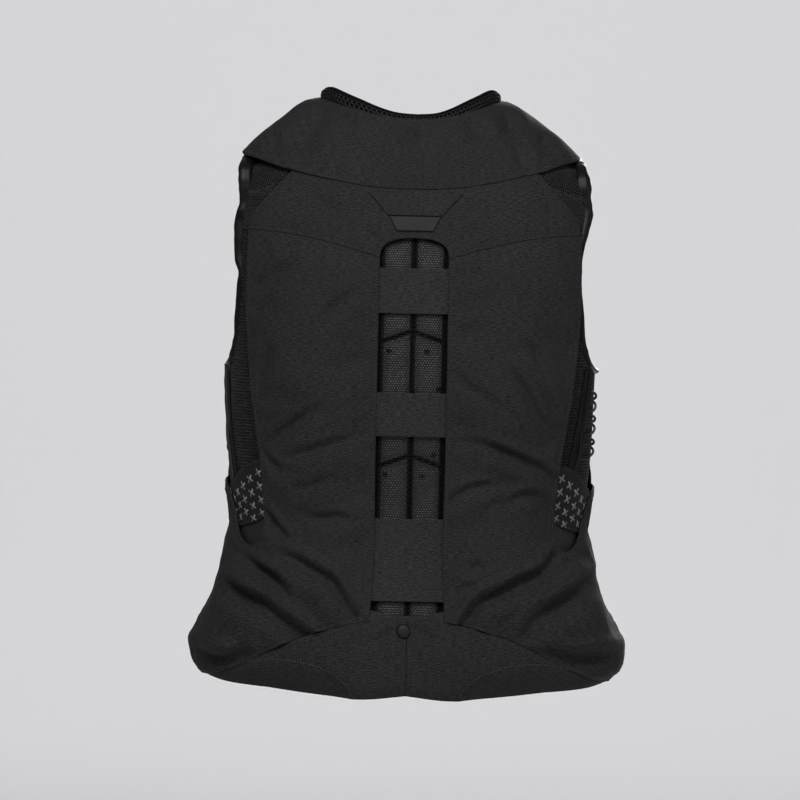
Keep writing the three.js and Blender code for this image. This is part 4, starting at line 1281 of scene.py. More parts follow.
def liner_top(x):
    """Height of the liner's top edge, where the shoulder straps meet it."""
    inner, outer = STRAP_INNER, STRAP_OUTER
    share = np.clip((np.abs(x) - inner["back_x"]) / (outer["back_x"] - inner["back_x"]), 0, 1)
    return mix(inner["back_end"], outer["back_end"], share)


def front_edge(z):
    return along(FRONT_EDGE, "z", "angle", z)


def back_liner(material):
    def place(u, v):
        share = 2 * u - 1
        z = mix(LINER_BOTTOM, liner_top(share * STRAP_OUTER["back_x"]) + LINER_RISE, v)
        edge = np.where(share < 0, armhole_edge(-1, z), armhole_edge(1, z))
        return share * (edge + liner_spare(z)), z

    made = patch("back_liner", place)
    return skin("back_liner", made, body_surface(KNIT), KNIT, material, "spacer_mesh")


def side_mesh(side, material):
    def place(u, v):
        top = SIDE_MESH["top"] + SIDE_MESH["tuck"] + SIDE_MESH["corner"] * u ** 4
        z = mix(SIDE_MESH["bottom"], top, v)
        return mix(SIDE_MESH["from"], front_edge(z) + SIDE_MESH["under"], u), z

    made = patch("side_mesh", place, side.sign)
    return skin(f"side_mesh_{side.name}", made, body_surface(KNIT), KNIT, material, "spacer_mesh")


def window_net(material):
    size = SPINE_NET
    band_edges = [edge for pair in BANDS.values() for edge in pair]
    openings = (WINDOW_TOP, *band_edges, HEM_FACING["top"] - size["foot"])

    def keep(x, z):
        inside = np.zeros(len(x), bool)
        for top, bottom in zip(openings[::2], openings[1::2]):
            inside |= (z < top + size["under"]) & (z > bottom - size["under"])
        plates = (np.abs(x) > along(GROOVE, "z", "half", z)) & (np.abs(x) < PLATE_HALF)
        for apex in CHEVRONS:
            plates &= np.abs(z - chevron(apex, x)) > size["seam"]
        return inside & plates

    def surface(x, z, lift):
        return on_body(*seen(x, z), lift)

    box = (-size["half"], size["half"], size["bottom"], size["top"])
    return net("spine_net", surface, box, WINDOW_NET, keep, material, "back_liner")


def side_box(side, near, far, low, high):
    """Box of a net in flat coordinates, on a side."""
    return (near, far, low, high) if side.sign > 0 else (-far, -near, low, high)


def side_net(side, fine, material):
    """Net of the side opening and of the strip between the shell and the armhole, or the finer one of the
    shoulder's corner."""
    size = SIDE_NET

    def keep(p, z):
        angle = angle_at(np.abs(p), z)
        above = z > SIDE_MESH["top"] + SIDE_MESH["tuck"]
        armhole = armhole_edge(side.sign, z) + LINER_SPARE - size["edge_spare"]
        ahead = np.where(above, armhole, front_edge(z) - size["front_spare"])
        edge, _ = seen(back_edge(z), z)
        at = on_body(angle, z, EDGE_LIFT)
        behind = np.where(z > YOKE_SEAM["outer_z"], size["under_yoke"], edge - size["behind"])
        clear = (z < YOKE_SEAM["outer_z"]) | (at[:, 2] > yoke_top(at[:, 0]) - size["yoke_cover"])
        top = liner_top(on_body(angle, LINER_TOP, KNIT)[:, 0]) + size["rise"]
        return (angle > behind) & (angle < ahead) & (z < top) & clear

    def surface(p, z, lift):
        return on_body(side.sign * angle_at(np.abs(p), z), z, lift)

    if fine:
        box = side_box(side, size["near"], size["far"], size["fine_from"], size["top"])
        return net(f"corner_net_{side.name}", surface, box, FINE_NET, keep, material, "back_liner")
    box = side_box(side, size["near"], size["far"], size["bottom"], size["fine_from"])
    return net(f"side_net_{side.name}", surface, box, NET, keep, material, f"side_mesh_{side.name}")


def chevron(apex, x):
    return apex - CHEVRON_DROP * np.abs(x) / WINDOW["half"][-1]


def spine_plates(material):
    """Padded plates behind the window's net, parted by a groove and two chevron seams."""
    levels = (WINDOW_TOP + PLATE["above"], *CHEVRONS, HEM_FACING["bottom"] + PLATE["below"])
    patches = []
    for sign in (-1, 1):
        for top, bottom in zip(levels, levels[1:]):
            def place(u, v, sign=sign, top=top, bottom=bottom):
                share = u if sign > 0 else 1 - u
                x = mix(PLATE["inner"], PLATE_HALF, share)
                z = mix(chevron(bottom, x) + PLATE["seam"], chevron(top, x) - PLATE["seam"], v)
                x = mix(along(GROOVE, "z", "half", z), PLATE_HALF, share)
                return seen(sign * x, z)
            patches.append((stops(PLATE_GRID["wide"]), stops(top - bottom, PLATE_GRID["rise"]), place))

    def relief(points, places, distance):
        return PLATE["crown"] * smooth(distance / PLATE["run"])

    made = lattice(patches)
    wall = PLATE["lift"] - PLATE["clear"]
    surface = body_surface(PLATE["lift"])
    return skin(
        "back_liner", made, surface, wall, material, "spacer_mesh", relief, name="spine_plates",
    )


def rosettes(material):
    """Clusters of dark holes in the window's net, each a hole with others round it: black discs of painted
    shade.
    """
    disc, faces = lathe(ROSETTE_PROFILE, ROSETTE["sides"])
    discs = []
    for x, z in zip(ROSETTES["x"], ROSETTES["z"]):
        for k in range(ROSETTE["holes"] + 1):
            reach = 0 if k == 0 else ROSETTE["reach"]
            turn = 2 * math.pi * k / ROSETTE["holes"]
            place = seen_place(x + reach * math.cos(turn), z + reach * math.sin(turn))
            discs.append((stand_on(disc, place, WINDOW_NET.strand), faces))
    points, faces = join(discs)
    uv = np.tile(disc[:, :2], (len(discs), 1))
    return make("spine_holes", points, faces, uv, material, "spacer_mesh", "back_liner")


# Shoulders and armholes

def on_strap(u, v, lift):
    """Point of the right shoulder's arch, from its inner (u = 0) to its outer edge and from the back
    (v = 0) to the front."""
    def between(column):
        return mix(STRAP_INNER[column], STRAP_OUTER[column], u)

    def reach(x, end, depth):
        half, deep = along(SECTIONS, "z", "half", end), along(SECTIONS, "z", depth, end)
        return deep * (1 - (x / half) ** SQUARENESS) ** (1 / SQUARENESS) + lift

    forward = (1 - np.cos(np.pi * v)) / 2
    back_y = -reach(between("back_x"), between("back_end"), "back")
    front_y = reach(between("front_x"), between("front_end"), "front")
    end = mix(between("back_end"), between("front_end"), forward)
    arch = np.maximum(0, np.sin(np.pi * v)) ** STRAP_FULLNESS
    rise = (between("top") + lift - end) * arch
    x = mix(between("back_x"), between("front_x"), forward)
    return np.stack(np.broadcast_arrays(x, mix(back_y, front_y, forward), end + rise), -1)


def strap_spare(v):
    """Share of the strap's width to which its mesh runs under the binding."""
    end = mix(*STRAP_END_SPARE, v)
    return mix(end, STRAP_SPARE, smooth(STRAP_END_RUN * np.sin(np.pi * v)))


def shoulder_strap(side, material):
    def surface(u, v, lift):
        return on_strap(np.abs(u), v, KNIT + lift) * (side.sign, 1, 1)

    size = GRIDS["shoulder_strap"]
    made = patch("shoulder_strap", lambda u, v: (u * strap_spare(v), v), side.sign)
    uv = made[0] * (size.wide, size.tall)
    return skin(f"shoulder_strap_{side.name}", made, surface, KNIT, material, "spacer_mesh", uv=uv)


def strap_net(side, fine, material):
    """Net of the shoulder; its back part is finer."""
    size = STRAP_NET
    wide = GRIDS["shoulder_strap"].wide * STRAP_SPARE
    shares = np.linspace(0, 1, size["stations"])
    reach = reach_along(on_strap(0.5, shares, 0.0))
    low, high = (size["end"], size["fine_to"]) if fine else (size["fine_to"], reach[-1] - size["end"])

    def surface(p, q, lift):
        v = np.interp(q, reach, shares)
        u = np.clip(np.abs(p) / wide, 0, 1) * strap_spare(v)
        return on_strap(u, v, lift) * (side.sign, 1, 1)

    def keep(p, q):
        across = np.abs(p)
        return (across > size["inner"] * wide) & (across < wide - size["end"]) & (q >= low) & (q < high)

    name = f"shoulder_net_{side.name}_{'back' if fine else 'front'}"
    weave = FINE_NET if fine else NET
    box = side_box(side, 0, wide, low, high)
    return net(name, surface, box, weave, keep, material, f"shoulder_strap_{side.name}")


def binding_sections(side, path):
    """Oval of the binding at each station of its path, swollen, crumpled and creased."""
    sides = BINDING["sides"]
    sections = oval(len(path), sides, BINDING["width"], BINDING["thickness"], BINDING["power"])
    size = BINDING_CRUMPLE
    shoulder = smooth((path[:, 2] - BINDING_SHOULDER["from"]) / BINDING_SHOULDER["run"])
    crumple = ripple(path, size["size"], side.sign * size["seed"])
    broad = ripple(path, size["broad_size"], side.sign * size["broad_seed"])
    swell = 1 + (size["height"] + BINDING_SHOULDER["crumple"] * shoulder) * crumple + size["broad"] * broad
    behind = smooth(-path[:, 1] / BINDING_TURN)
    width_behind = along(ARMHOLE_RUN[side.sign], "z", "wide", path[:, 2])
    wide = mix(1 + BINDING_SHOULDER["wide"] * shoulder, width_behind, behind)
    thick = 1 + BINDING_SHOULDER["thick"] * shoulder
    sections = sections * swell[:, None, None] * np.stack([wide, thick], -1)[:, None]
    drift = BINDING_CREASE["drift"] * broad[:, None]
    crease = sum(bell(turns(sides) - at + drift, BINDING_CREASE["width"]) for at in BINDING_CREASE["at"])
    return sections * (1 - BINDING_CREASE["depth"] * crease[..., None])


def armhole_binding(side, material):
    under = SIDE_MESH["top"] + BINDING["thickness"] / 2 + BINDING["clear"]
    out, up = BINDING_CAP[side.sign]
    outside = np.array([BINDING["width"] / 2 + LAYER_GAP + out, 0, up])
    route = [on_body(armhole_edge(side.sign, z) + BINDING["beyond"], z, MESH / 2) for z in BINDING_BEHIND]
    route += [on_body(angle, under, MESH / 2) for angle in BINDING_UNDER]
    route += [on_body(front_edge(z) - BINDING["ahead"], z, FRONT_LIFT - CLOTH) for z in BINDING_AHEAD]
    route += [on_strap(1.0, v, MESH / 2) + outside for v in BINDING_OVER]
    path = spline(np.array(route) * (side.sign, 1, 1), BINDING["stations"], closed=True)
    flat = np.tile([side.sign, 0.0, 0.0], (len(path), 1))
    points, faces, uv = sweep(path, flat, binding_sections(side, path), True)
    node = f"armhole_binding_{side.name}"
    return make(f"{node}_tape", points, faces, uv, material, "satin_binding", node)


# Side openings

def strip_angle(side, z):
    return mix(side.strip_bottom, side.strip_top, (z - STRIP["bottom"]) / (STRIP["top"] - STRIP["bottom"]))


def lace_strip(side, material):
    def place(u, v):
        z = mix(STRIP["bottom"], STRIP["top"], v)
        return strip_angle(side, z) + STRIP["width"] * (u - 0.5), z

    made = patch("lace_strip", place, side.sign)
    surface = body_surface(STRIP_LIFT)
    relief = crumpled(STRIP_CRUMPLE)
    return skin(f"lace_strip_{side.name}", made, surface, WEBBING, material, "satin_binding", relief)


def lace_piping(side, material):
    """Wavy roll along the strip's front edge."""
    size = PIPING
    z = line(STRIP["bottom"] + size["end"], STRIP["top"] - size["end"], size["stations"])
    angle = side.sign * (strip_angle(side, z) + STRIP["width"] / 2 - size["inset"])
    path = on_body(angle, z, STRIP_LIFT + size["lift"])
    wander = size["wander"] * ripple(path, size["wander_size"], size["wander_seed"])
    path = path + body_normal(angle, z) * wander[:, None]
    swell = 1 + size["swell"] * ripple(path, size["swell_size"], size["swell_seed"])
    sections = oval(len(path), size["sides"], size["size"], size["size"] * size["flat"])
    sections = sections * swell[:, None, None]
    across = on_body(angle + side.sign, z, 0.0) - on_body(angle, z, 0.0)
    points, faces, uv = sweep(path, across, sections, False)
    node = f"lace_strip_{side.name}"
    return make(f"lace_piping_{side.name}", points, faces, uv, material, "satin_binding", node)


def side_lace(side, material):
    """Braided zigzag cord between the lace strip and the front panel's edge."""
    places = []
    for k in range(LACING["crossings"] + 1):
        z = mix(LACING["top"], LACING["bottom"], k / LACING["crossings"])
        places.append((LACING["front_angle"] if k % 2 else strip_angle(side, z) + LACING["inset"], z))
    knots = []
    for (angle, z), (next_angle, next_z) in zip(places, places[1:]):
        share = np.arange(LACING["stops"]) / LACING["stops"]
        knots += list(zip(mix(angle, next_angle, share), mix(z, next_z, share)))
    knots = np.array(knots + places[-1:])
    lift = MESH + LAYER_GAP + LACE / 2
    path = spline(on_body(side.sign * knots[:, 0], knots[:, 1], lift), BRAID["stations"])
    turn = turns(BRAID["sides"])
    twist = BRAID["twist"] * np.arange(len(path))[:, None] * np.linalg.norm(path[1] - path[0])
    braid = np.maximum(np.cos(2 * turn + twist), np.cos(2 * turn - twist))
    sections = oval(len(path), BRAID["sides"], LACE, LACE)
    sections = sections * (BRAID["core"] + BRAID["relief"] * braid)[..., None]
    up = np.tile([0.0, 0.0, 1.0], (len(path), 1))
    points, faces, uv = sweep(path, up, sections, False)
    node = f"side_lace_{side.name}"
    return make(f"{node}_cord", points, faces, uv, material, "lace_cord", node)


def tab_edge(column, angle):
    return along(TAB, "angle", column, angle)


def side_tab(side, material):
    def place(u, v):
        angle = mix(TAB["angle"][0], TAB["angle"][-1], u)
        return angle, mix(tab_edge("bottom", angle), tab_edge("top", angle), v)

    def relief(points, places, distance):
        size = TAB_CRUMPLE
        bow = size["rise"] + size["height"] * ripple(points, size["size"], side.sign * size["seed"])
        seam = size["seam"] * seam_relief(points, distance, size["seam_seed"])
        return bow * smooth(distance / size["run"]) + seam

    made = patch("side_tab", place, side.sign)
    surface = body_surface(BAND_LIFT)
    return skin(f"side_tab_{side.name}", made, surface, WEBBING, material, "printed_tab", relief)


def print_places():
    """Angle, height and lean of each of the tab's crosses."""
    reach = range(-PRINT["rows"], PRINT["rows"] + 1)
    for row in reach:
        for column in reach:
            lean = PRINT["lean"] + PRINT["sway"] * (1 if column % 2 else -1)
            angle = PRINT["angle"] + PRINT["across"] * column / MM_PER_DEGREE
            z = PRINT["middle"] + PRINT["up"] * (row + 0.5 * (column % 2))
            low, high = tab_edge("bottom", angle) + PRINT["room"], tab_edge("top", angle) - PRINT["room"]
            if low < z < high and PRINT["from"] < angle < PRINT["to"]:
                yield angle, z, math.radians(lean)


def tab_print(side, material):
    """Raised crosses on the tab."""
    trace = tracer(f"side_tab_{side.name}")
    far, near = PRINT["length"] / 2, PRINT["width"] / 2
    arm = np.array([(far, -near), (far, near), (near, near)])
    quarter = np.array([[0, 1], [-1, 0]])
    outline = np.vstack([arm @ np.linalg.matrix_power(quarter, k) for k in range(4)])
    count = len(outline)
    top = list(range(count))[::side.sign]
    faces = [top]
    faces += [[b, a, a + count, b + count] for a, b in zip(top, top[1:] + top[:1])]
    faces.append([corner + count for corner in top[::-1]])
    crosses = []
    for angle, z, lean in print_places():
        spin = np.array([[math.cos(lean), math.sin(lean)], [-math.sin(lean), math.cos(lean)]])
        flat = outline @ spin
        hits, normals = trace(side.sign * (angle + flat[:, 0] / MM_PER_DEGREE), z + flat[:, 1])
        if len(hits) == count:
            rims = [hits + normals * PRINT["height"], hits - normals * PRINT["sink"]]
            crosses.append((np.vstack(rims), faces))
    points, faces = join(crosses)
    return make(f"tab_print_{side.name}", points, faces, points[:, [0, 2]], material, "printed_tab")


def notch_facing(side, material):
    size = NOTCH_FACING

    def place(u, v):
        return mix(size["from"], size["to"], u), mix(size["bottom"], size["top"], v)

    made = patch("notch_facing", place, side.sign)
    surface = body_surface(STRIP_LIFT)
    relief = crumpled(FACING_CRUMPLE, side.sign)
    return skin(f"notch_facing_{side.name}", made, surface, WEBBING, material, "satin_binding", relief)


# Front

def front_top(angle):
    return along(FRONT_TOP, "angle", "z", angle)


def front_lift(angle, z):
    turn = np.abs(angle)
    seat = mix(FRONT_TOP_LIFT, FRONT_LIFT, ease((front_top(turn) - z) / FRONT_SEAT))
    beside = 1 - ease((turn - SIDE_SEAM) / FRONT_STEP["angle"])
    beside_seam = beside * ease((FRONT_STEP["below"] - z) / FRONT_STEP["height"])
    roll = mix(HEM_ROLL["front"], HEM_ROLL["depth"], beside_seam)
    above = z - hem_seam(SIDE_SEAM)
    return mix(seat, EDGE_LIFT, beside_seam) - roll * (1 - ease(above / HEM_ROLL["height"]))


def front_panel(side, material):
    def place(u, v):
        top_angle = mix(FRONT_TOP["angle"][0], FRONT_MIDDLE, u)
        z = mix(hem_seam(SIDE_SEAM), front_top(top_angle), v)
        return mix(front_edge(z), FRONT_MIDDLE, u), z

    def relief(points, places, distance):
        return slack("front_panel", points, distance, shift=side.sign)

    made, coarse = (patch(piece, place, side.sign) for piece in ("front_panel", "front_panel_coarse"))
    surface = body_surface(front_lift)
    return skin(
        f"front_panel_{side.name}", made, surface, CLOTH, material, "shell_cloth", relief, coarse=coarse,
    )


def zip_lift(angle, z):
    return front_lift(np.full_like(z, 180.0), z) + LAYER_GAP + WEBBING


def front_zip(material):
    def place(u, v):
        z = mix(hem_seam(SIDE_SEAM), ZIP["top"], v)
        half = np.degrees(ZIP["half"] / along(SECTIONS, "z", "front", z))
        return 180 + half * (2 * u - 1), z

    made = patch("front_zip", place)
    return skin("front_zip", made, body_surface(zip_lift), WEBBING, material, "zip_tape")


def zip_teeth(material):
    size, run = ZIP_TOOTH, ZIP_TEETH
    square = np.array([(-1, -1), (1, -1), (1, 1), (-1, 1)]) * (size["wide"], size["tall"])
    foot = np.column_stack([square, np.full(4, size["foot"])])
    top = np.column_stack([square * (size["top_wide"], size["top_tall"]), np.full(4, size["height"])])
    tooth, faces = np.vstack([foot, top]), tube_faces(2, 4)
    teeth = []
    low, high = hem_seam(SIDE_SEAM) + run["bottom"], ZIP["top"] - run["top"]
    for k, z in enumerate(np.arange(low, high, run["pitch"])):
        height = np.array([z])
        shift = run["shift"] if k % 2 else -run["shift"]
        lift = zip_lift(height, height)[0]
        teeth.append((stand_on(tooth + (shift, 0, 0), (180.0, float(z)), lift), faces))
    points, faces = join(teeth)
    made = make("front_zip_teeth", points, faces, points[:, [0, 2]], material, "zip_tape", "front_zip")
    made.data.polygons.foreach_set("use_smooth", np.zeros(len(made.data.polygons), bool))
    return made


# Collar

def ring_point(rim, inset, angle, z):
    x, y = ring(*(value - inset for value in rim), angle)
    x = x + COLLAR_LEAN["rim"] * smooth(-x / rim[0])
    return np.stack(np.broadcast_arrays(x, y, z), -1)


def on_collar(angle, v, lift):
    """Point of the collar between its foot (v = 0) and its rim, at a lift from its outer face."""
    angle, v, lift = arrays(angle, v, lift)
    turn = np.abs(angle)
    rim_z, foot_z, seat = (along(COLLAR, "angle", column, turn) for column in ("rim", "foot", "lift"))
    height = foot_z
    for _ in range(SEARCH_STEPS):
        height = height + foot_z - on_body(angle, height, seat)[..., 2]
    foot = on_body(angle, height, seat)
    foot[..., 0] += COLLAR_LEAN["tip"] * smooth(np.abs(foot[..., 0]) / along(SECTIONS, "z", "half", foot_z))
    rim = ring_point(COLLAR_RIM, 0, angle, rim_z)
    slope = unit(rim - foot)
    out = rim * (1, 1, 0)
    out = unit(out - slope * np.sum(out * slope, -1, keepdims=True))
    bulge = COLLAR_BULGE * np.sin(np.pi * v)
    return foot + (rim - foot) * v[..., None] + out * (bulge + lift)[..., None]


def round_neck(u, v):
    return mix(COLLAR_OPENING - 180, 180 - COLLAR_OPENING, u), v


def collar_cloth(material):
    tall = GRIDS["collar"].tall

    def relief(points, places, distance):
        folds = fold_relief(COLLAR_FOLDS, points) * smooth(-points[:, 1] / COLLAR_DEPTH)
        roll = COLLAR_EDGE["roll"] * (1 - ease((1 - places[:, 1]) * tall / COLLAR_EDGE["run"]))
        return slack("collar", points, distance, folds) - roll

    made = patch("collar", round_neck)
    uv = made[0] * (COLLAR_ARC, tall)
    return skin("collar", made, on_collar, CLOTH, material, "shell_cloth", relief, uv)


def on_lining(angle, v, lift):
    angle, v, lift = arrays(angle, v, lift)
    turn = np.abs(angle)
    top_z = along(COLLAR, "angle", "rim", turn) + along(LINING, "angle", "rise", turn)
    top = ring_point(COLLAR_RIM, CLOTH + LINING_INSET - lift, angle, top_z)
    foot = ring_point(LINING_FOOT, -lift, angle, along(LINING, "angle", "foot", turn))
    return foot + (top - foot) * v[..., None]


def collar_lining(material):
    made = patch("collar_lining", round_neck)
    uv = made[0] * (LINING_ARC, GRIDS["collar_lining"].tall)
    relief = crumpled(LINING_CRUMPLE)
    return skin(
        "collar_lining", made, on_lining, LINING_WALL, material, "spacer_mesh", relief, uv, LINING_ROUND,
    )


def lining_net(part, material):
    """Net of the lining's outside or inside."""
    tall = GRIDS["collar_lining"].tall
    lowest, widest = COLLAR_NET_PARTS[part]

    def surface(p, q, lift):
        if part == "inside":
            return on_lining(-p / LINING_ARC, q / tall, -LINING_WALL - lift)
        return on_lining(p / LINING_ARC, q / tall, lift)

    def keep(p, q):
        return (q > lowest * tall) & (q < tall - COLLAR_NET["end"]) & (np.abs(p) < widest * LINING_ARC)

    box = (-COLLAR_NET["reach"], COLLAR_NET["reach"], 0, tall)
    return net(f"lining_net_{part}", surface, box, LINING_NET, keep, material, "collar_lining")


# Materials

class Shader:
    """A node material with a few short ways to add and join nodes."""

    def __init__(self, name, roughness, specular):
        self.material = bpy.data.materials.new(name)
        self.material.use_nodes = True
        self.tree = self.material.node_tree
        self.bsdf = self.tree.nodes["Principled BSDF"]
        self.bsdf.inputs["Roughness"].default_value = roughness
        self.bsdf.inputs["Specular IOR Level"].default_value = specular
        self.coordinates = self.node("ShaderNodeTexCoord").outputs["UV"]

    def node(self, kind, links=(), **values):
        made = self.tree.nodes.new(kind)
        for name, value in values.items():
            if hasattr(made, name):
                setattr(made, name, value)
            else:
                made.inputs[name.replace("_", " ").title()].default_value = value
        for socket, output in dict(links).items():
            self.tree.links.new(output, made.inputs[socket])
        return made

    def streaks(self, scale, detail=2.0):
        """Noise in cloth coordinates, with its own scale along each axis."""
        stretched = self.node("ShaderNodeMapping", {"Vector": self.coordinates})
        stretched.inputs["Scale"].default_value = (*scale, 1)
        made = self.node("ShaderNodeTexNoise", {"Vector": stretched.outputs[0]}, scale=1.0, detail=detail)
        return made.outputs["Fac"]

    def threads(self, pitch, direction):
        """Rounded ridges of threads that lie side by side."""
        made = self.node("ShaderNodeTexWave", {"Vector": self.coordinates}, scale=math.pi / 10 / pitch)
        made.bands_direction = direction
        return made.outputs["Fac"]

    def ramp(self, factor, dark, light, low=0.3, high=0.7):
        made = self.node("ShaderNodeValToRGB", {"Fac": factor})
        for stop, colour, position in zip(made.color_ramp.elements, (dark, light), (low, high)):
            stop.position = position
            stop.color = (*colour, 1)
        return made.outputs["Color"]

    def blend(self, kind, first, second, factor=1.0):
        made = self.node("ShaderNodeMix", data_type="RGBA", blend_type=kind)
        made.inputs[0].default_value = factor
        self.tree.links.new(first, made.inputs[6])
        self.tree.links.new(second, made.inputs[7])
        return made.outputs[2]

    def clouded(self, colour, cloud, low):
        """A colour made darker in soft patches."""
        return self.blend("MULTIPLY", colour, self.ramp(cloud, grey(low, 0), grey(1.0, 0)))

    def math(self, operation, first, second):
        made = self.node("ShaderNodeMath", operation=operation)
        for socket, value in zip(made.inputs, (first, second)):
            self.tree.links.new(value, socket)
        return made.outputs[0]

    def finish(self, colour, height, depth, strength):
        self.tree.links.new(colour, self.bsdf.inputs["Base Color"])
        bump = self.node("ShaderNodeBump", {"Height": height}, strength=strength, distance=depth)
        self.tree.links.new(bump.outputs[0], self.bsdf.inputs["Normal"])
        return self.material


def grey(value, cool=0.03):
    return (value, value * (1 - cool / 2), value * (1 + cool))


def woven(name, value, pitch, roughness=0.85, contrast=0.78, specular=0.06):
    """Plain-weave cloth with a fine grain and slubs along the weft."""
    shader = Shader(name, roughness, specular)
    slubs, grain = shader.streaks(WOVEN["slubs"]), shader.streaks(WOVEN["grain"])
    cloud = shader.streaks(WOVEN["cloud"], FINE_DETAIL)
    light, dark = grey(value * (1 + contrast)), grey(value * (1 - contrast))
    weft, warp = (shader.ramp(yarn, dark, light, *WOVEN["ramp"]) for yarn in (slubs, grain))
    colour = shader.clouded(shader.blend("MIX", weft, warp, 0.5), cloud, WOVEN["shade"])
    ridges = shader.math("MAXIMUM", shader.threads(pitch, "X"), shader.threads(pitch, "Y"))
    height = shader.math("ADD", ridges, slubs)
    return shader.finish(colour, height, WOVEN["depth"], WOVEN["strength"])


def knitted(name, value, roughness=0.6, specular=0.5, speck=2.2, low=0.35):
    """Knitted spacer cloth: yarn streaks and lighter specks."""
    shader = Shader(name, roughness, specular)
    yarn = shader.streaks(KNITTED["yarn"], FINE_DETAIL)
    cloud = shader.streaks(KNITTED["cloud"])
    dark, light = grey(value * KNITTED["dark"]), grey(value * speck)
    colour = shader.ramp(yarn, dark, light, low, KNITTED["high"])
    colour = shader.clouded(colour, cloud, KNITTED["shade"])
    return shader.finish(colour, yarn, KNITTED["depth"], KNITTED["strength"])


def satin(name, value, roughness=0.4, specular=0.22):
    """Smooth binding with a faint lengthwise grain."""
    shader = Shader(name, roughness, specular)
    grain, cloud = shader.streaks(SATIN["grain"]), shader.streaks(SATIN["cloud"])
    colour = shader.ramp(grain, grey(value * SATIN["dark"]), grey(value * SATIN["light"]))
    colour = shader.clouded(colour, cloud, SATIN["shade"])
    height = shader.math("ADD", grain, cloud)
    return shader.finish(colour, height, SATIN["depth"], SATIN["strength"])


def plain(name, value, roughness, scale=(300, 300), contrast=0.15, specular=0.5, cool=0.04):
    """Even surface with a fine grain."""
    shader = Shader(name, roughness, specular)
    grain = shader.streaks(scale, FINE_DETAIL)
    colour = shader.ramp(grain, grey(value * (1 - contrast), cool), grey(value * (1 + contrast), cool))
    return shader.finish(colour, grain, PLAIN["depth"], PLAIN["strength"])


shell_cloth = woven("shell cloth", 0.0095, 0.0008)
band_cloth = woven("band cloth", 0.0115, 0.0007)
tab_cloth = woven("tab cloth", 0.005, 0.0006, roughness=0.7, contrast=0.2)
label_cloth = plain("label cloth", 0.0027, 0.6, scale=(900, 900), contrast=0.12, specular=0.1, cool=0.2)
liner_cloth = knitted("liner knit", 0.001, roughness=0.9, specular=0.04)
plate_cloth = knitted("plate knit", 0.036, roughness=0.8, specular=0.1, speck=3.8)
net_yarn = knitted("net yarn", 0.0042, roughness=0.6, specular=0.12)
corner_yarn = knitted("corner yarn", 0.009, roughness=0.6, specular=0.1, speck=3.6, low=0.42)
side_yarn = knitted("side yarn", 0.0044, roughness=0.6, specular=0.1, speck=8.0, low=0.47)
# Darker copy of the net yarn for the collar's lining: painted shade inside the collar
shaded_lining_yarn = knitted("lining yarn", 0.003, roughness=0.6, specular=0.1)
satin_tape = satin("satin tape", 0.0024, roughness=0.4, specular=0.055)
strip_tape = satin("strip tape", 0.003, roughness=0.5, specular=0.04)
# Lighter satin for the left piping only, the right one taking the darker strip tape: painted light on the
# left side
lit_piping_satin = satin("piping satin", 0.0078, roughness=0.5, specular=0.08)
facing_cloth = satin("facing cloth", 0.0042, roughness=0.6, specular=0.15)
print_grey = plain("reflective print", 0.062, 0.5, contrast=0.1, specular=0.2)
thread = plain("sewing thread", 0.019, 0.7, scale=(2500, 2500), contrast=0.3, specular=0.1)
light_thread = plain("light thread", 0.027, 0.7, scale=(2500, 2500), contrast=0.3, specular=0.1)
cord_yarn = plain("lace yarn", 0.0075, 0.8, scale=(2500, 2500), contrast=0.4, specular=0.03)
snap_paint = plain("snap paint", 0.0024, 0.5, contrast=0.1, specular=0.1)
# Near-black for the needle holes and the window net's hole clusters: painted shade inside the holes
painted_hole_shade = plain("hole black", 0.0006, 0.9, contrast=0.3, specular=0.01)
zip_weave = woven("zip weave", 0.006, 0.0006, contrast=0.2)
zip_plastic = plain("zip plastic", 0.008, 0.35, contrast=0.1, specular=0.3)

# The pieces

back_yoke(shell_cloth)
for each in SIDES:
    back_panel(each, shell_cloth)
    hem_panel(each, shell_cloth)
for band, (band_top, band_bottom) in BANDS.items():
    spine_strip(f"spine_band_{band}", band_top, band_bottom, band_cloth)
spine_strip("hem_facing", HEM_FACING["top"], HEM_FACING["bottom"], band_cloth, HEM_FACING["scoop"])
yoke_trapezium("hang_tab", HANG_TAB, shell_cloth, "shell_cloth")
yoke_trapezium("label", LABEL, label_cloth, "label_fabric")
hem_snap(snap_paint)
back_liner(liner_cloth)
spine_plates(plate_cloth)
window_net(net_yarn)
# black discs of painted shade for the window net's hole clusters
rosettes(painted_hole_shade)
for each in SIDES:
    side_mesh(each, liner_cloth)
    shoulder_strap(each, liner_cloth)
    for fine in (True, False):
        side_net(each, fine, corner_yarn if fine else side_yarn)
        strap_net(each, fine, corner_yarn)
    armhole_binding(each, satin_tape)
    lace_strip(each, strip_tape)
    # the left piping is painted lighter than the right one, as painted light
    lace_piping(each, lit_piping_satin if each.sign < 0 else strip_tape)
    side_lace(each, cord_yarn)
    side_tab(each, tab_cloth)
    tab_print(each, print_grey)
    notch_facing(each, facing_cloth)
    front_panel(each, shell_cloth)
front_zip(zip_weave)
zip_teeth(zip_plastic)
collar_cloth(shell_cloth)
collar_lining(liner_cloth)
# the lining's nets take the darker yarn, painted shade inside the collar
for part in COLLAR_NET_PARTS:
    lining_net(part, shaded_lining_yarn)

# The sewing

def seen_row(trace, x, z):
    """Row of stitches along a line that is seen from behind."""
    return stitch_row(*trace(*seen(x, z)))


def level_row(trace, angle, z, pitch=STITCH["pitch"]):
    """Row of stitches at given angles and heights, one of which may be a single number."""
    return stitch_row(*trace(*arrays(angle, z)), pitch)


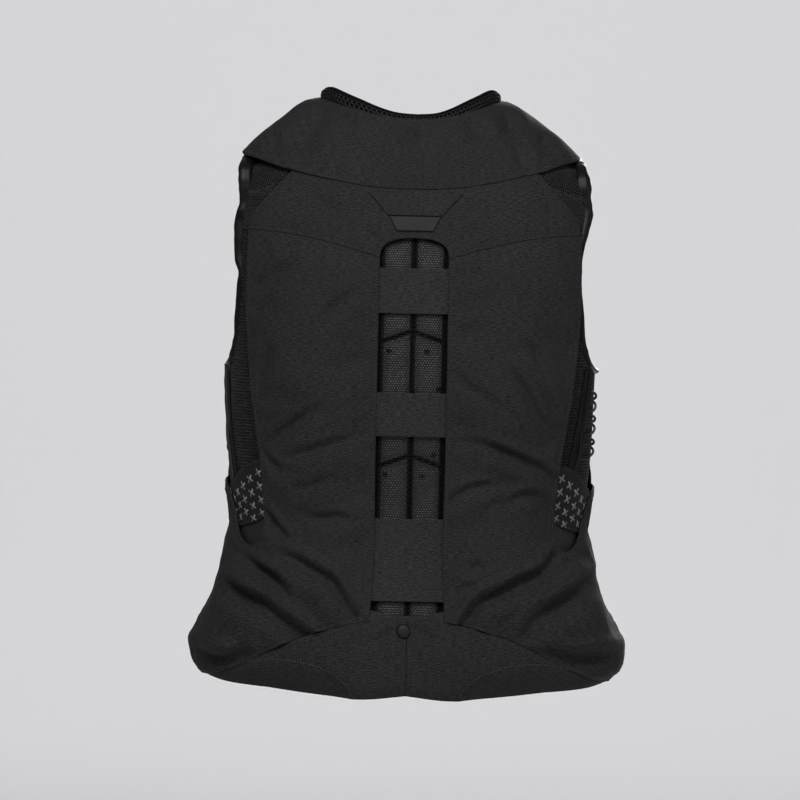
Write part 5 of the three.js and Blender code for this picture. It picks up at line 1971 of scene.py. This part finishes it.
def notch_rows(trace, sign):
    """Rows below the notch's far edge, at their distances from it."""
    across = line(NOTCH_ANGLE + NOTCH_ROW["start"], NOTCH_ROW["end"], NOTCH_ROW["points"])
    edge = np.column_stack([across * MM_PER_DEGREE, notch_far_edge(across)])
    edge = resample(edge, NOTCH_ROW["points"])
    heading = unit(np.gradient(edge, axis=0))
    for drop in NOTCH_ROWS:
        place = edge + drop * heading[:, ::-1] * (1, -1)
        place = place[place[:, 0] > NOTCH_ANGLE * MM_PER_DEGREE + NOTCH_ROW["clear"]]
        yield level_row(trace, sign * place[:, 0] / MM_PER_DEGREE, place[:, 1])


def shell_rows(trace):
    inset = STITCH["inset"]
    for sign in (-1, 1):
        height = line(*WINDOW_ROW, LONG_ROW)
        yield seen_row(trace, sign * (window_half(height) + inset), height)
        across = line(*YOKE_ROW)
        yield seen_row(trace, sign * across, yoke_seam(across) + inset)
        for edge_inset, low, high, count in EDGE_ROWS:
            height = line(low, high, count)
            yield seen_row(trace, sign * (back_edge(height) - edge_inset), height)
        yield from notch_rows(trace, sign)
        across = line(HEM_ROW_END, HEM_END - HEM_ROW_END, LONG_ROW)
        yield level_row(trace, sign * across, hem_seam(across) - inset)
    turn = line(0, np.pi)
    x = np.sign(np.cos(turn)) * np.abs(np.cos(turn)) ** (2 / ARCH_POWER)
    z = (WINDOW_TOP - WINDOW_SHOULDER + inset) * np.sin(turn) ** (2 / ARCH_POWER)
    yield seen_row(trace, (YOKE_SEAM["inner_x"] + inset) * x, WINDOW_SHOULDER + z)
    for x, top, bottom in HEM_ROWS:
        yield seen_row(trace, x, line(top, bottom))


def hem_rows(trace):
    across = line(*HEM_TURN_ROW, LONG_ROW)
    for sign in (-1, 1):
        yield seen_row(trace, sign * across, hem_turn(across) + HEM_TURN_RISE)


def collar_rows():
    trace = tracer("collar", surface=on_collar)
    for share in COLLAR_ROWS:
        yield level_row(trace, line(-COLLAR_ROW["end"], COLLAR_ROW["end"], COLLAR_ROW["points"]), share)


def trim_rows():
    trace = tracer("spine_band_lower")
    for z in BAND_ROWS:
        yield seen_row(trace, line(-BAND_ROW, BAND_ROW), z)
    trace = tracer("hang_tab")
    share = line(TAB_ROW["from"], TAB_ROW["to"])
    half = mix(HANG_TAB["bottom_half"], HANG_TAB["top_half"], share) - TAB_ROW["inset"]
    for sign in (-1, 1):
        yield seen_row(trace, sign * half, mix(HANG_TAB["bottom"], HANG_TAB["top"], share))


def side_rows():
    size = FRONT_ROWS
    for side in SIDES:
        trace = tracer(f"front_panel_{side.name}")
        height = line(size["bottom"], size["middle_top"], LONG_ROW)
        yield level_row(trace, side.sign * size["middle"], height, FRONT_PITCH)
        height = line(size["bottom"], size["edge_top"], LONG_ROW)
        yield level_row(trace, side.sign * (front_edge(height) + size["edge"]), height, FRONT_PITCH)
        yield level_row(trace, side.sign * line(*size["foot"], LONG_ROW), size["bottom"], FRONT_PITCH)
        trace = tracer(f"side_tab_{side.name}")
        across = line(SIDE_TAB_ROW["from"], SIDE_TAB_ROW["to"])
        for column, shift in (("top", -SIDE_TAB_ROW["inset"]), ("bottom", SIDE_TAB_ROW["inset"])):
            yield level_row(trace, side.sign * across, tab_edge(column, across) + shift)


back_sides = [f"{piece}_{each.name}" for piece in ("back_panel", "hem_panel") for each in SIDES]
shell_trace = tracer("back_yoke", *back_sides)
sew("shell_sewing", shell_rows(shell_trace), thread)
sew("hem_sewing", hem_rows(shell_trace), light_thread)
sew("collar_sewing", collar_rows(), thread)
sew("trim_sewing", trim_rows(), thread)
sew("side_sewing", side_rows(), thread)


# Soft pieces: the outer area of each sheet

def outer_area(made):
    a, b, c, d = (made.outer[made.quads[:, k]] for k in range(4))
    return float(np.linalg.norm(np.cross(c - a, d - b), axis=1).sum() / 2)


for node, sheet in SHEETS.items():
    area = outer_area(SKINS[f"{node}_cloth"])


# Camera, light and stage

def aimed(place, aim):
    """Turn of a camera or light at a place that looks at a point."""
    return (Vector(aim) - Vector(place)).to_track_quat("-Z", "Y").to_matrix()


def photo_camera():
    data = bpy.data.cameras.new("camera")
    data.sensor_width = SENSOR
    data.lens = SENSOR * DISTANCE / (PIXEL * PICTURE)
    data.clip_end = CLIP
    camera = bpy.data.objects.new("camera", data)
    tilt = math.radians(ELEVATION)
    camera.location = AIM + Vector((0, -math.cos(tilt), math.sin(tilt))) * DISTANCE * MM
    roll = Matrix.Rotation(math.radians(ROLL), 3, "Z")
    camera.rotation_euler = (aimed(camera.location, AIM) @ roll).to_euler()
    bpy.context.scene.collection.objects.link(camera)
    bpy.context.scene.camera = camera


def backdrop():
    """Pale floor that rises to a wall all round."""
    profile = [(max(radius, BOWL_MIDDLE), FLOOR + height) for radius, height in spline(BOWL, BOWL_RINGS)]
    points, _ = lathe(profile, BOWL_SIDES)
    mesh = bpy.data.meshes.new("backdrop")
    mesh.from_pydata(points.tolist(), [], tube_faces(len(profile), BOWL_SIDES, caps=False))
    mesh.polygons.foreach_set("use_smooth", np.ones(len(mesh.polygons), bool))
    paint = plain("backdrop paint", 0.82, 0.9, scale=(3, 3), contrast=0.01, specular=0.1, cool=0.01)
    mesh.materials.append(paint)
    made = bpy.data.objects.new("backdrop", mesh)
    bpy.context.scene.collection.objects.link(made)
    made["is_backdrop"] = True


def area_light(light):
    data = bpy.data.lights.new(light.name, "AREA")
    data.energy = light.power
    data.shape = "RECTANGLE"
    data.size = data.size_y = light.size
    made = bpy.data.objects.new(light.name, data)
    made.location = light.place
    made.rotation_euler = aimed(light.place, light.aim).to_euler()
    bpy.context.scene.collection.objects.link(made)


photo_camera()
backdrop()
for light in LIGHTS:
    area_light(light)
world = bpy.data.worlds.new("studio")
bpy.context.scene.world = world
world.use_nodes = True
background = world.node_tree.nodes["Background"]
background.inputs["Color"].default_value = SKY
background.inputs["Strength"].default_value = SKY_STRENGTH
bpy.context.scene.view_settings.view_transform = "Standard"

boxes = {"cad": cad_box, "visual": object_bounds()}
{name: [list(corner) for corner in box] for name, box in boxes.items()}
